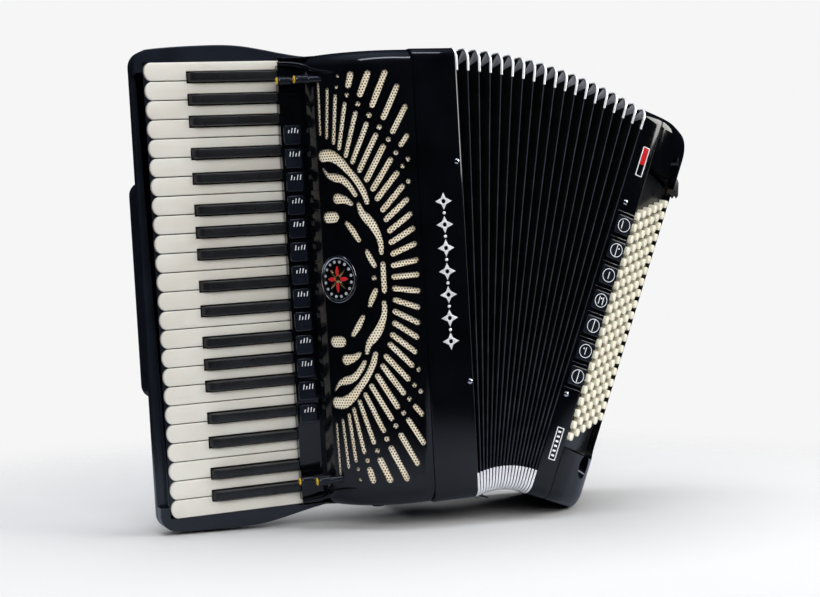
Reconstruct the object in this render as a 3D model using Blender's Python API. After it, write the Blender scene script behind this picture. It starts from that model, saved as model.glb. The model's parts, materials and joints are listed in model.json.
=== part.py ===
"""A 41-key, 120-bass piano accordion, standing on its keyboard edge and its bass end with the bellows fanned.

Metres, +Z up. The keyboard side ("treble") and the button side ("bass") are each modelled upright in a frame
of their own: x runs from keyboard to bass end, y from the front of the case to its back, z from its foot to
its top. Both frames have x = 0 where the bellows are screwed on. The bellows fan about a line across their
foot, so the bass frame hangs from an empty on that line.
"""
import math

import bmesh
import bpy
from mathutils import Matrix, Vector

MM = 0.001
GAP = 0.3                                   # between pieces that rest on each other

# Keyboard
WHITE_PITCH = 19.6
WHITE_NOTES = "FGABCDEFGABCDEFGABCDEFGA"    # from the top of the standing instrument down
BLACK_SHIFT = {"F": 3.5, "G": 0.0, "A": -3.0, "C": 3.0, "D": -3.0}   # black key's place above the white joint
BLACK_WIDTH = 11.0
KEY_SPACE = 0.8                             # between two white keys
KEY_LENGTH = 138.0                          # white key, from the cover's lip to its free end
BLACK_LENGTH = 93.0
KEY_DIP = 5.0                               # how far a white key's free end goes down
WHITE_TOP = 80.0                            # y of the white keys' playing face
BLACK_TOP = 72.0
KEY_THICK = 12.5
AXLE_RADIUS = 1.5
AXLE_X = -165.0
AXLE_Y = 90.0
HUB_HOLE = 1.7                              # corner radius of the eight-sided hole round the axle
ARM_THICK = 3.0

# Treble case and cover
CASE_DEPTH = 195.0
CASE_BAND = 50.0                            # width of the plain band beside the bellows
CASE_WALL = 7.0
CASE_ROUND = 12.0
END_MARGIN = 3.0                            # case beyond the last key at each end
TREBLE_SOUNDBOARD = 6.0                     # thickness of the wooden board that closes the treble case
REED_MARGIN = (15.0, 16.0)                  # from the case's front and back walls to the treble reed blocks
STRAP_LUG_END = 36.0                        # from each end of the keyboard to its strap lug
STRAP_LUG_X = -25.0
STRAP_LUG_REACH = 7.0                       # from the case's back to the lug's hole
STRAP_HOLE = 3.0
COVER_RADIUS = 96.0
COVER_TURN = math.radians(69.0)
COVER_WALL = 2.5
LIP_X = -174.0
PANEL_Y = 70.0                              # face of the register panel
TREBLE_TABS = 13
TREBLE_TAB_PITCH = 24.5
TAB_TRAVEL = 2.0
STEM_X = (-166.0, -158.0)                   # opening in the panel for each tab's stem
KNOB_TIPS = ((-180.0, 57.0), (-166.0, 42.0))
KNOB_RADIUS = 4.5
KNOB_FOOT = 28.0                            # height of the lower pair of chin knobs
KNOB_HEAD = 24.0                            # the upper pair, down from the top of the keyboard
RAYS = 17                                   # sunburst slots in each half of the cover
RAY_STEP = math.radians(4.85)

# Bellows
CLOSED = 58.0                               # thickness of the closed bellows
RINGS = 3
RING_GAP = 1.5                              # between neighbouring frames with the bellows closed
RING_WALL = 14.0
FAN_OPEN = 22.5                             # degrees at rest

# Bass side
BASS_LOW = 6.0
BASS_HIGH = 448.0
BASS_DEPTH = 190.0
BASS_BAND = 24.0
BASS_END = 98.0                             # outer face of the bass end cover
BASS_WALL = 3.0
BASS_SOUNDBOARD = (18.0, 21.0)              # x of the board that closes the bass case, clear of the pressed buttons
BUTTON_ROWS = 6
BUTTON_COLUMNS = 20
BUTTON_PITCH = 13.38                        # along the column
ROW_PITCH = 14.0
ROW_STAGGER = 7.0
BUTTON_RADIUS = 4.5
BUTTON_HEIGHT = 9.0
PLATE_SLOPE = math.radians(39.8)
PLATE_START = Vector((27.7, 11.9))          # foot of the first row of buttons, on the plate
FIELD_LOW = 66.0                            # z of the window for the buttons
FIELD_HIGH = 388.0
FIRST_BUTTON = 79.2
FOOT_PLACES = ((92, 40), (92, 400), (174, 30), (174, 408))   # y and z of the rubber feet
AIR_Y = 104.0
AIR_Z = 372.0
BASS_TABS = 7
BASS_TAB_PITCH = 28.9
FIRST_BASS_TAB = 143.0
STRAP_GAP = 30.0
STRAP_WIDTH = 58.0
STRAP_THICK = 3.0

# Worked out
HEIGHT = len(WHITE_NOTES) * WHITE_PITCH
RING_THICK = CLOSED / (RINGS + 1) - RING_GAP
CASE_LOW = -END_MARGIN
CASE_HIGH = HEIGHT + END_MARGIN
KEY_END_X = LIP_X - 1.0 - KEY_LENGTH
BED_TOP = WHITE_TOP + KEY_THICK + KEY_DIP + 1.0
BED_BACK = BED_TOP + 14.0
PALLET_X = -CASE_BAND - GAP
STRAP_LUGS = (STRAP_LUG_END, HEIGHT - STRAP_LUG_END)
KNOB_HEIGHTS = (KNOB_FOOT, HEIGHT - KNOB_HEAD)
ALONG_PLATE = Vector((math.cos(PLATE_SLOPE), math.sin(PLATE_SLOPE)))
OFF_PLATE = Vector((math.sin(PLATE_SLOPE), -math.cos(PLATE_SLOPE)))


def clear_scene():
    for obj in list(bpy.data.objects):
        bpy.data.objects.remove(obj, do_unlink=True)


clear_scene()
parts = bpy.data.collections.new("piano_accordion")
bpy.context.scene.collection.children.link(parts)


def material(name, colour, roughness, metallic=0.0):
    made = bpy.data.materials.new(name)
    made.use_nodes = True
    shader = made.node_tree.nodes["Principled BSDF"]
    shader.inputs["Base Color"].default_value = (*colour, 1.0)
    shader.inputs["Roughness"].default_value = roughness
    shader.inputs["Metallic"].default_value = metallic
    made.diffuse_color = (*colour, 1.0)
    return made


GLOSS_BLACK = material("gloss_black", (0.006, 0.006, 0.008), 0.08)
SATIN_BLACK = material("satin_black", (0.012, 0.012, 0.013), 0.4)
IVORY = material("ivory", (0.86, 0.83, 0.74), 0.25)
GOLD_MESH = material("gold_mesh", (0.80, 0.64, 0.40), 0.35, 0.8)
STEEL = material("steel", (0.62, 0.62, 0.64), 0.25, 1.0)
CLOTH = material("bellows_cloth", (0.02, 0.02, 0.022), 0.7)
WOOD = material("reed_wood", (0.45, 0.30, 0.16), 0.6)
LEATHER = material("leather", (0.03, 0.028, 0.027), 0.55)


def from_mesh(mesh, name="shape"):
    obj = bpy.data.objects.new(name, mesh)
    parts.objects.link(obj)
    return obj


# Turns a flat outline drawn in XY so that it's swept along x, y or z.
SWEEP = {
    "z": Matrix.Identity(3),
    "y": Matrix(((1, 0, 0), (0, 0, -1), (0, 1, 0))),
    "x": Matrix(((0, 0, 1), (1, 0, 0), (0, 1, 0))),
}


def slab(outlines, low, high, along="z"):
    """A flat outline, with any holes as further outlines, given thickness from low to high along an axis."""
    curve = bpy.data.curves.new("outline", "CURVE")
    curve.dimensions = "2D"
    curve.fill_mode = "BOTH"
    curve.extrude = (high - low) / 2 * MM
    for outline in outlines:
        spline = curve.splines.new("POLY")
        spline.points.add(len(outline) - 1)
        for point, (a, b) in zip(spline.points, outline):
            point.co = (a * MM, b * MM, 0.0, 1.0)
        spline.use_cyclic_u = True
    drawn = bpy.data.objects.new("outline", curve)
    parts.objects.link(drawn)
    bpy.context.view_layer.update()
    graph = bpy.context.evaluated_depsgraph_get()
    mesh = bpy.data.meshes.new_from_object(drawn.evaluated_get(graph))
    bpy.data.objects.remove(drawn, do_unlink=True)
    middle = (low + high) / 2 * MM
    turn = SWEEP[along].to_4x4()
    shift = Matrix.Translation(turn @ Vector((0, 0, -middle if along == "y" else middle)))
    work = bmesh.new()
    work.from_mesh(mesh)
    bmesh.ops.transform(work, matrix=shift @ turn, verts=work.verts)
    bmesh.ops.remove_doubles(work, verts=work.verts, dist=1e-7)
    bmesh.ops.recalc_face_normals(work, faces=work.faces)
    work.to_mesh(mesh)
    work.free()
    return from_mesh(mesh)


def box(x, y, z):
    work = bmesh.new()
    size = [(b - a) * MM for a, b in (x, y, z)]
    middle = [(a + b) / 2 * MM for a, b in (x, y, z)]
    place = Matrix.Translation(middle) @ Matrix.Diagonal((*size, 1.0))
    bmesh.ops.create_cube(work, size=1.0, matrix=place)
    mesh = bpy.data.meshes.new("box")
    work.to_mesh(mesh)
    work.free()
    return from_mesh(mesh)


def rod(start, end, radius, sides, tip=None):
    """A round bar between two points, or a cone where its tip has another radius."""
    start, end = Vector(start), Vector(end)
    line = end - start
    turn = line.to_track_quat("Z", "Y").to_matrix().to_4x4()
    place = Matrix.Translation((start + end) / 2 * MM) @ turn
    work = bmesh.new()
    bmesh.ops.create_cone(
        work, cap_ends=True, segments=sides, radius1=radius * MM,
        radius2=(radius if tip is None else tip) * MM, depth=line.length * MM, matrix=place,
    )
    mesh = bpy.data.meshes.new("rod")
    work.to_mesh(mesh)
    work.free()
    return from_mesh(mesh)


def combine(base, others, operation):
    for other in others:
        modifier = base.modifiers.new(operation, "BOOLEAN")
        modifier.operation = operation
        modifier.object = other
    bpy.context.view_layer.update()
    graph = bpy.context.evaluated_depsgraph_get()
    mesh = bpy.data.meshes.new_from_object(base.evaluated_get(graph))
    base.modifiers.clear()
    base.data = mesh
    for other in others:
        bpy.data.objects.remove(other, do_unlink=True)
    return base


def union(base, *others):
    return combine(base, others, "UNION")


def cut(base, *others):
    return combine(base, others, "DIFFERENCE")


def common(base, *others):
    return combine(base, others, "INTERSECT")


def empty(name, parent=None, place=(0, 0, 0), turn=0.0):
    made = bpy.data.objects.new(name, None)
    parts.objects.link(made)
    made.parent = parent
    made.location = Vector(place) * MM
    made.rotation_euler = (0.0, math.radians(turn), 0.0)
    return made


def finish(obj, name, parent, slot, origin=(0, 0, 0)):
    """Names the piece, puts its origin where it turns or starts, and hangs it from its frame."""
    start = Vector(origin) * MM
    obj.name = name
    obj.data.name = name
    obj.data.transform(Matrix.Translation(-start))
    obj.location = start
    obj.parent = parent
    obj.data.materials.clear()
    obj.data.materials.append(slot)
    return obj


def rounded(low, high, radius, steps=3):
    """A rectangle from low to high with rounded corners, anticlockwise."""
    (x0, y0), (x1, y1) = low, high
    corners = ((x1 - radius, y0 + radius, -90), (x1 - radius, y1 - radius, 0),
               (x0 + radius, y1 - radius, 90), (x0 + radius, y0 + radius, 180))
    points = []
    for x, y, start in corners:
        for step in range(steps + 1):
            angle = math.radians(start + 90 * step / steps)
            points.append((x + radius * math.cos(angle), y + radius * math.sin(angle)))
    return points


def circle(x, y, radius, sides):
    turn = math.pi / sides
    return [(x + radius * math.cos(2 * math.pi * i / sides + turn),
             y + radius * math.sin(2 * math.pi * i / sides + turn)) for i in range(sides)]


stand = empty("stand")
treble = empty("treble", stand)
fan_foot = empty("fan_foot", treble, (CLOSED / 2, 0, 0), FAN_OPEN)
bass = empty("bass", fan_foot, (CLOSED / 2, 0, 0))


# ---- Treble case: a wooden box, open towards the bellows ----

def make_treble_case():
    outer = rounded((0, CASE_LOW), (CASE_DEPTH, CASE_HIGH), CASE_ROUND)
    inner = rounded((CASE_WALL, CASE_LOW + CASE_WALL), (CASE_DEPTH - CASE_WALL, CASE_HIGH - CASE_WALL), 6.0, 1)
    case = union(
        slab([outer, inner], -CASE_BAND, 0, "x"),
        slab([rounded((2, CASE_LOW + 2), (CASE_DEPTH - 2, CASE_HIGH - 2), CASE_ROUND)],
             -CASE_BAND + 0.5, -CASE_BAND + TREBLE_SOUNDBOARD, "x"),
    )
    for z in STRAP_LUGS:
        ear = slab([ear_outline(z), circle(CASE_DEPTH + STRAP_LUG_REACH, z, STRAP_HOLE, 24)],
                   STRAP_LUG_X - 4, STRAP_LUG_X + 4, "x")
        case = union(case, ear)
    return finish(case, "treble_case", treble, GLOSS_BLACK)


def ear_outline(z):
    """A strap lug seen from the side: a tongue with a round end, rooted in the case's back wall."""
    tip = CASE_DEPTH + STRAP_LUG_REACH
    arc = [(tip + 7 * math.sin(math.radians(a)), z - 7 * math.cos(math.radians(a))) for a in range(0, 181, 30)]
    return [(CASE_DEPTH - 3, z - 7), *arc, (CASE_DEPTH - 3, z + 7)]


make_treble_case()


# ---- Keyboard bed: the board under the keys, with raised cheeks and a lip round it ----

def white_span(index):
    """z of a white key's two joints, counted from the top."""
    top = HEIGHT - index * WHITE_PITCH
    return top - WHITE_PITCH, top


def black_middles():
    """z of each black key's middle, by the index of the white key above it."""
    last = len(WHITE_NOTES) - 1
    found = {}
    for index, note in enumerate(WHITE_NOTES[:last]):
        if note in BLACK_SHIFT:
            found[index] = white_span(index)[0] + BLACK_SHIFT[note]
    return found


def bed_outline():
    """The board seen from the front: a long panel whose two ends swell past the case in a low hump."""
    hump = 18.0
    left = KEY_END_X - 10.0
    right = -CASE_BAND - GAP
    half = HEIGHT / 2
    upper = [(left, half - 2), (left + 4, half + 8), (left + 12, half + hump - 3), (left + 28, half + hump)]
    for step in range(1, 6):
        part = step / 5
        x = left + 90 + (right - left - 160) * part
        upper.append((x, half + hump - (hump - 3) * (1 - math.cos(math.pi * part)) / 2))
    upper.append((right, half + 3))
    lower = [(x, -z) for x, z in reversed(upper)]
    return [(x, z + half) for x, z in upper + lower]


def make_bed():
    board = slab([bed_outline()], BED_TOP, BED_BACK, "y")
    rim_front = WHITE_TOP + 4.0
    half = HEIGHT / 2
    inside = [(KEY_END_X - 2.0, -1.2), (-40.0, -1.2), (-40.0, HEIGHT + 1.2), (KEY_END_X - 2.0, HEIGHT + 1.2)]
    rim = cut(slab([bed_outline()], rim_front, BED_TOP + 1.0, "y"), slab([inside], rim_front - 5, BED_TOP + 5, "y"))
    rest = slab([rounded((KEY_END_X - 4, half - 116), (-CASE_BAND - 10, half + 116), 14)],
                BED_BACK - 1.0, BED_BACK + 56.0, "y")
    bed = union(board, rim, rest)
    hole = AXLE_RADIUS + 0.2
    bed = cut(bed, rod((AXLE_X, AXLE_Y, -9), (AXLE_X, AXLE_Y, HEIGHT + 9), hole, 8))
    return finish(bed, "keyboard_bed", treble, GLOSS_BLACK)


make_bed()


def make_axle():
    axle = rod((AXLE_X, AXLE_Y, -8), (AXLE_X, AXLE_Y, HEIGHT + 8), AXLE_RADIUS, 8)
    return finish(axle, "key_axle", treble, STEEL)


make_axle()


# ---- Keys: each turns on the axle and lifts a pallet off the soundboard by its arm ----

def key_arm(middle, pallet_y):
    """The flat arm from the key's tail over the axle to its pallet, and the pallet itself."""
    tail = LIP_X - 20.0
    crook = PALLET_X - 16.0
    arm_low = AXLE_Y + 3.6
    side = [(tail, WHITE_TOP + 4), (AXLE_X + 4, WHITE_TOP + 6), (crook - 6, WHITE_TOP + 8),
            (crook, pallet_y - 4), (PALLET_X - 6, pallet_y - 4), (PALLET_X - 6, pallet_y + 4),
            (crook + 6, pallet_y + 4), (crook + 2, arm_low), (tail, arm_low)]
    plate = slab([side, circle(AXLE_X, AXLE_Y, HUB_HOLE, 8)], middle - ARM_THICK / 2, middle + ARM_THICK / 2)
    pallet = box((PALLET_X - 6.5, PALLET_X), (pallet_y - 9, pallet_y + 9), (middle - 4.2, middle + 4.2))
    return union(plate, pallet)


def make_white(index, blacks):
    low, high = white_span(index)
    low += KEY_SPACE / 2
    high -= KEY_SPACE / 2
    room = BLACK_WIDTH / 2 + 0.6
    notch_x = LIP_X - 1.0 - BLACK_LENGTH - 1.0
    tail_x = AXLE_X - 6.0
    upper = blacks[index - 1] - room if index - 1 in blacks else high
    lower = blacks[index] + room if index in blacks else low
    upper = min(upper, high)
    lower = max(lower, low)
    bow = 5.0
    end = []
    for step in range(5):
        part = step / 4 * 2 - 1
        end.append((KEY_END_X + bow * part * part, (low + high) / 2 - part * (high - low) / 2))
    outline = list(end)
    if lower > low:
        outline += [(notch_x, low), (notch_x, lower)]
    outline += [(tail_x, lower), (tail_x, upper)]
    if upper < high:
        outline += [(notch_x, upper), (notch_x, high)]
    key = slab([outline], WHITE_TOP, WHITE_TOP + KEY_THICK, "y")
    key = union(key, key_arm((lower + upper) / 2, 30.0))
    name = f"white_key_{index + 1:02d}_{WHITE_NOTES[index]}"
    return finish(key, name, treble, IVORY, (AXLE_X, AXLE_Y, (low + high) / 2))


def make_black(number, index, middle):
    """A black key: a tapered block, raised over the white keys, on a low tail."""
    end = LIP_X - 1.0 - BLACK_LENGTH
    half = BLACK_WIDTH / 2
    block = box((end, LIP_X - 3.0), (BLACK_TOP, WHITE_TOP + KEY_THICK), (middle - half, middle + half))
    for vertex in block.data.vertices:
        if vertex.co.y < (BLACK_TOP + 1) * MM:
            vertex.co.z += 0.8 * MM * (1 if vertex.co.z < middle * MM else -1)
            if vertex.co.x < (end + 1) * MM:
                vertex.co.x += 5.0 * MM
    tail = box((LIP_X - 4.0, AXLE_X - 6.0), (WHITE_TOP + 1, WHITE_TOP + KEY_THICK), (middle - 4, middle + 4))
    key = union(block, tail, key_arm(middle, 58.0))
    name = f"black_key_{number:02d}_{WHITE_NOTES[index]}sharp"
    return finish(key, name, treble, SATIN_BLACK, (AXLE_X, AXLE_Y, middle))


def make_keys():
    blacks = black_middles()
    for index in range(len(WHITE_NOTES)):
        make_white(index, blacks)
    for number, (index, middle) in enumerate(blacks.items(), 1):
        make_black(number, index, middle)


make_keys()


# ---- Grille cover: a thin curved shell over the pallets, with sunburst slots and the register panel ----

def cover_path(inset):
    """The cover's section from the band to its lip above the keys, moved inwards by inset."""
    points = [(-CASE_BAND - 0.6, inset)]
    middle = (-60.0, COVER_RADIUS)
    for step in range(8):
        angle = COVER_TURN * step / 7
        reach = COVER_RADIUS - inset
        points.append((middle[0] - reach * math.sin(angle), middle[1] - reach * math.cos(angle)))
    points += [(-152.5 + inset * 0.4, PANEL_Y + inset), (LIP_X + inset, PANEL_Y + inset), (LIP_X + inset, 77.5)]
    return points


def ray_slot(turn):
    """A straight slot of the sunburst, seen from the front: its ends lie on two upright ellipses."""
    centre_x = -152.0
    centre_z = HEIGHT / 2
    cos, sin = math.cos(turn), math.sin(turn)
    inner = Vector((centre_x + 58 * cos, centre_z + 112 * sin))
    outer = Vector((centre_x + 84 * cos, centre_z + 168 * sin))
    side = (outer - inner).normalized().orthogonal() * 2.0
    return [tuple(p) for p in (inner - side, outer - side, outer + side, inner + side)]


def make_cover():
    low, high = CASE_LOW, CASE_HIGH
    outer = cover_path(0.0)
    inner = cover_path(COVER_WALL)
    shell = slab([outer + list(reversed(inner))], low, high)
    cap = outer[:-1] + [(LIP_X, 77.5), (LIP_X + 6, 84.0), (-CASE_BAND - 0.6, 84.0)]
    cover = union(shell, slab([cap], low, low + 2.3), slab([cap], high - 2.3, high))
    for number in range(RAYS):
        turn = RAY_STEP * (number + 0.5)
        for slot in (ray_slot(turn), ray_slot(-turn)):
            cover = cut(cover, slab([slot], -20, 60, "y"))
    for middle in treble_tab_middles():
        cover = cut(cover, box(STEM_X, (PANEL_Y - 3, PANEL_Y + 5), (middle - 3, middle + 3)))
    for z in KNOB_HEIGHTS:
        for x, y in KNOB_TIPS:
            cover = cut(cover, rod((x - 5, y, z), (-120, y, z), KNOB_RADIUS + 0.5, 8))
    return finish(cover, "grille_cover", treble, GLOSS_BLACK)


def treble_tab_middles():
    first = HEIGHT / 2 + 8.5 - TREBLE_TAB_PITCH * (TREBLE_TABS - 1) / 2
    return [first + TREBLE_TAB_PITCH * i for i in range(TREBLE_TABS)]


make_cover()


def make_mesh_sheet():
    """The perforated metal behind the slots: a thin sheet following the inside of the cover."""
    outer = cover_path(COVER_WALL + GAP)[1:8]
    inner = cover_path(COVER_WALL + GAP + 0.8)[1:8]
    sheet = slab([outer + list(reversed(inner))], 45, HEIGHT - 45)
    return finish(sheet, "grille_mesh", treble, GOLD_MESH)


make_mesh_sheet()


def make_treble_tabs():
    """The register tabs, joined under the panel by their rail."""
    middles = treble_tab_middles()
    front = PANEL_Y - TAB_TRAVEL - 3.5
    rail_x = (STEM_X[0] + 1.5, STEM_X[1] - 1.5)
    bank = box(rail_x, (PANEL_Y + COVER_WALL + 0.7, PANEL_Y + COVER_WALL + 3.2),
               (middles[0] - 5, middles[-1] + 5))
    for middle in middles:
        stem = box((rail_x[0] + 0.4, rail_x[1] - 0.4), (front + 1, PANEL_Y + COVER_WALL + 2), (middle - 2, middle + 2))
        tab = box((LIP_X + 1.5, -153.5), (front, PANEL_Y - TAB_TRAVEL - 0.5), (middle - 10, middle + 10))
        bank = union(bank, stem, tab)
    return finish(bank, "treble_registers", treble, SATIN_BLACK)


make_treble_tabs()


def make_knobs(name, z):
    """Two chin knobs on one slide behind the cover."""
    slide = box((-129, -126), (37, 62), (z - 6, z + 6))
    knobs = [rod((x, y, z), (-128, y, z), KNOB_RADIUS, 8) for x, y in KNOB_TIPS]
    return finish(union(slide, *knobs), name, treble, SATIN_BLACK)


make_knobs("chin_knobs_bottom", KNOB_HEIGHTS[0])
make_knobs("chin_knobs_top", KNOB_HEIGHTS[1])


def reed_bank(x, foot, rows, z, y):
    """Reed blocks as bars standing side by side on one sole."""
    bank = box(foot, y, z)
    width = (y[1] - y[0]) / (rows * 2 - 1)
    for row in range(rows):
        start = y[0] + row * 2 * width
        bank = union(bank, box(x, (start, start + width), z))
    return bank


def make_treble_reeds():
    board = -CASE_BAND + TREBLE_SOUNDBOARD + GAP
    across = (CASE_WALL + REED_MARGIN[0], CASE_DEPTH - CASE_WALL - REED_MARGIN[1])
    bank = reed_bank((board + 3, 16.0), (board, board + 4), 4, (24, HEIGHT - 24), across)
    return finish(bank, "treble_reeds", treble, WOOD)


make_treble_reeds()


# ---- Bellows: three of the frames between the folds, each fanned its share about the foot ----

def make_ring(number):
    share = number / (RINGS + 1)
    middle = CLOSED * (share - 0.5)
    low = CASE_LOW + (BASS_LOW - CASE_LOW) * share
    high = CASE_HIGH + (BASS_HIGH - CASE_HIGH) * share
    back = CASE_DEPTH + (BASS_DEPTH - CASE_DEPTH) * share
    outer = rounded((0, low), (back, high), CASE_ROUND)
    inner = rounded((RING_WALL, low + RING_WALL), (back - RING_WALL, high - RING_WALL), 5.0, 1)
    ring = slab([outer, inner], middle - RING_THICK / 2, middle + RING_THICK / 2, "x")
    hang = empty(f"ring_hang_{number}", treble, (CLOSED / 2, 0, 0), FAN_OPEN * share)
    return finish(ring, f"bellows_frame_{number}", hang, CLOTH)


for ring_number in range(1, RINGS + 1):
    make_ring(ring_number)


# ---- Bass case, end cover and button bank ----

def make_bass_case():
    outer = rounded((0, BASS_LOW), (BASS_DEPTH, BASS_HIGH), CASE_ROUND)
    inner = rounded((CASE_WALL, BASS_LOW + CASE_WALL), (BASS_DEPTH - CASE_WALL, BASS_HIGH - CASE_WALL), 6.0, 1)
    case = union(
        slab([outer, inner], 0, BASS_BAND, "x"),
        slab([rounded((2, BASS_LOW + 2), (BASS_DEPTH - 2, BASS_HIGH - 2), CASE_ROUND)],
             *BASS_SOUNDBOARD, "x"),
    )
    for middle in bass_tab_middles():
        case = cut(case, box((8, 15), (-5, CASE_WALL + 5), (middle - 3.5, middle + 3.5)))
    return finish(case, "bass_case", bass, GLOSS_BLACK)


def bass_tab_middles():
    return [FIRST_BASS_TAB + BASS_TAB_PITCH * i for i in range(BASS_TABS)]


make_bass_case()


def end_plan(inset, start):
    """The end cover seen from above: a bulging front that runs round into the flat outer face."""
    outer = [(start, inset), (42, 3 + inset), (63 - inset * 0.5, 17 + inset * 0.85),
             (80 - inset * 0.8, 34 + inset * 0.6), (92 - inset * 0.95, 56 + inset * 0.3),
             (BASS_END - inset, 80), (BASS_END - inset, BASS_DEPTH - inset), (start, BASS_DEPTH - inset)]
    return outer


def end_side(inset, start):
    """The end cover seen from the front: its top corner is well rounded, its foot a little less."""
    def arc(x, z, radius, first, steps):
        return [(x + radius * math.cos(math.radians(first + 90 * i / steps)),
                 z + radius * math.sin(math.radians(first + 90 * i / steps))) for i in range(steps + 1)]
    top, foot = 30.0, 15.0
    low, high = BASS_LOW, BASS_HIGH
    return [(start, low + inset),
            *arc(BASS_END - foot, low + foot, foot - inset, -90, 3),
            *arc(BASS_END - top, high - top, top - inset, 0, 5),
            (start, high - inset)]


def on_plate(run, lift):
    return tuple(PLATE_START + ALONG_PLATE * run + OFF_PLATE * lift)


def make_end_cover():
    start = BASS_BAND + GAP
    low, high = BASS_LOW - 5, BASS_HIGH + 5
    shell = common(slab([end_plan(0.0, start)], low, high), slab([end_side(0.0, start)], -5, BASS_DEPTH + 5, "y"))
    hollow = common(slab([end_plan(BASS_WALL, start - 5)], low, high),
                    slab([end_side(BASS_WALL, start - 5)], -5, BASS_DEPTH + 5, "y"))
    cover = cut(shell, hollow)
    field = [on_plate(-12, -4), on_plate(76, -4), on_plate(76, 60), on_plate(-40, 60)]
    cover = cut(cover, slab([field], FIELD_LOW, FIELD_HIGH))
    for y, z in FOOT_PLACES:
        cover = union(cover, rod((BASS_END - 1, y, z), (BASS_END + 9, y, z), 7, 12, 5.5))
    cover = cut(cover, rod((BASS_END - 8, AIR_Y, AIR_Z), (BASS_END + 8, AIR_Y, AIR_Z), 5.5, 12))
    return finish(cover, "bass_end_cover", bass, GLOSS_BLACK)


make_end_cover()


def make_buttons():
    """All the bass buttons on the plate that closes the slanted window of the end cover."""
    edge = 1.0
    plate = [on_plate(-2.4, 0), on_plate(75.4, 0), on_plate(75.4, -3), on_plate(0.0, -3)]
    bank = slab([plate], FIELD_LOW + edge, FIELD_HIGH - edge)
    lift = Vector((OFF_PLATE.x, OFF_PLATE.y, 0))
    for row in range(BUTTON_ROWS):
        foot = Vector((*on_plate(row * ROW_PITCH, 0), 0))
        pegs = []
        for column in range(BUTTON_COLUMNS):
            z = FIRST_BUTTON + row * ROW_STAGGER + column * BUTTON_PITCH
            at = foot + Vector((0, 0, z))
            pegs.append(rod(at - lift, at + lift * BUTTON_HEIGHT, BUTTON_RADIUS, 6))
        bank = union(bank, merged(pegs))
    return finish(bank, "bass_buttons", bass, IVORY)


def merged(pieces):
    """Several shapes that don't touch, as one mesh."""
    work = bmesh.new()
    for piece in pieces:
        work.from_mesh(piece.data)
        bpy.data.objects.remove(piece, do_unlink=True)
    mesh = bpy.data.meshes.new("pieces")
    work.to_mesh(mesh)
    work.free()
    return from_mesh(mesh)


make_buttons()


def make_bass_tabs():
    middles = bass_tab_middles()
    rail = (CASE_WALL + 1.0, CASE_WALL + 4.0)
    bank = box((9, 14), rail, (middles[0] - 6, middles[-1] + 6))
    for middle in middles:
        stem = box((9.5, 13.5), (-TAB_TRAVEL - 1.5, rail[0] + 1), (middle - 2.5, middle + 2.5))
        tab = box((3, 22), (-TAB_TRAVEL - 2.3, -TAB_TRAVEL - 0.3), (middle - 9.5, middle + 9.5))
        bank = union(bank, stem, tab)
    return finish(bank, "bass_registers", bass, SATIN_BLACK)


make_bass_tabs()


def make_bass_reeds():
    foot = (BASS_SOUNDBOARD[0] - GAP - 4.0, BASS_SOUNDBOARD[0] - GAP)
    bank = reed_bank((-14.0, foot[0] + 1.0), foot, 3, (40, BASS_HIGH - 36), (26, 168))
    return finish(bank, "bass_reeds", bass, WOOD)


make_bass_reeds()


def make_air_button():
    button = union(rod((BASS_END - 6, AIR_Y, AIR_Z), (BASS_END + 6, AIR_Y, AIR_Z), 5.0, 12),
                   rod((BASS_END + 4, AIR_Y, AIR_Z), (BASS_END + 9, AIR_Y, AIR_Z), 8.0, 12, 7.0))
    return finish(button, "air_button", bass, IVORY)


make_air_button()


def strap_path(inset):
    """The hand strap seen from the front: flat feet on the end cover and a long bow over the hand."""
    foot_low, foot_high = 48.0, BASS_HIGH - 58.0
    points = [(BASS_END + GAP + inset, foot_low), (BASS_END + GAP + inset, foot_low + 22)]
    steps = 12
    for step in range(1, steps):
        part = step / steps
        bow = STRAP_GAP * math.sin(math.pi * part) ** 0.75
        points.append((BASS_END + GAP + bow + inset, foot_low + 22 + (foot_high - foot_low - 44) * part))
    points += [(BASS_END + GAP + inset, foot_high - 22), (BASS_END + GAP + inset, foot_high)]
    return points


def make_strap():
    outline = strap_path(0.0) + list(reversed(strap_path(STRAP_THICK)))
    back = BASS_DEPTH - 4.0
    strap = slab([outline], back - STRAP_WIDTH, back, "y")
    return finish(strap, "hand_strap", bass, LEATHER)


make_strap()


# ---- Stance: it leans until the keyboard edge and the bass end both stand on the floor ----

def corners_of(frames):
    bpy.context.view_layer.update()
    found = []
    for obj in parts.objects:
        if obj.type == "MESH" and obj.parent in frames:
            found += [obj.matrix_world @ vertex.co for vertex in obj.data.vertices]
    return found


def set_down():
    treble_points = corners_of([treble])
    bass_points = corners_of([bass])
    lean = 0.0
    for _ in range(12):
        stand.rotation_euler.y = lean
        bpy.context.view_layer.update()
        turn = Matrix.Rotation(lean, 3, "Y")
        left = min((turn @ p for p in treble_points), key=lambda p: p.z)
        right = min((turn @ p for p in bass_points), key=lambda p: p.z)
        lean += math.atan2(right.z - left.z, right.x - left.x)
    stand.rotation_euler.y = lean
    points = corners_of([treble, bass] + [o for o in parts.objects if o.name.startswith("ring_hang")])
    low = [min(p[i] for p in points) for i in range(3)]
    high = [max(p[i] for p in points) for i in range(3)]
    stand.location = (-(low[0] + high[0]) / 2, -(low[1] + high[1]) / 2, -low[2])
    bpy.context.view_layer.update()


set_down()

for piece in parts.objects:
    if piece.type == "MESH":
        piece.data.shade_smooth()
        piece.data.set_sharp_from_angle(angle=math.radians(35))
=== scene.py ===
import json
import math

import bmesh
import bpy
from mathutils import Matrix, Vector


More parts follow.
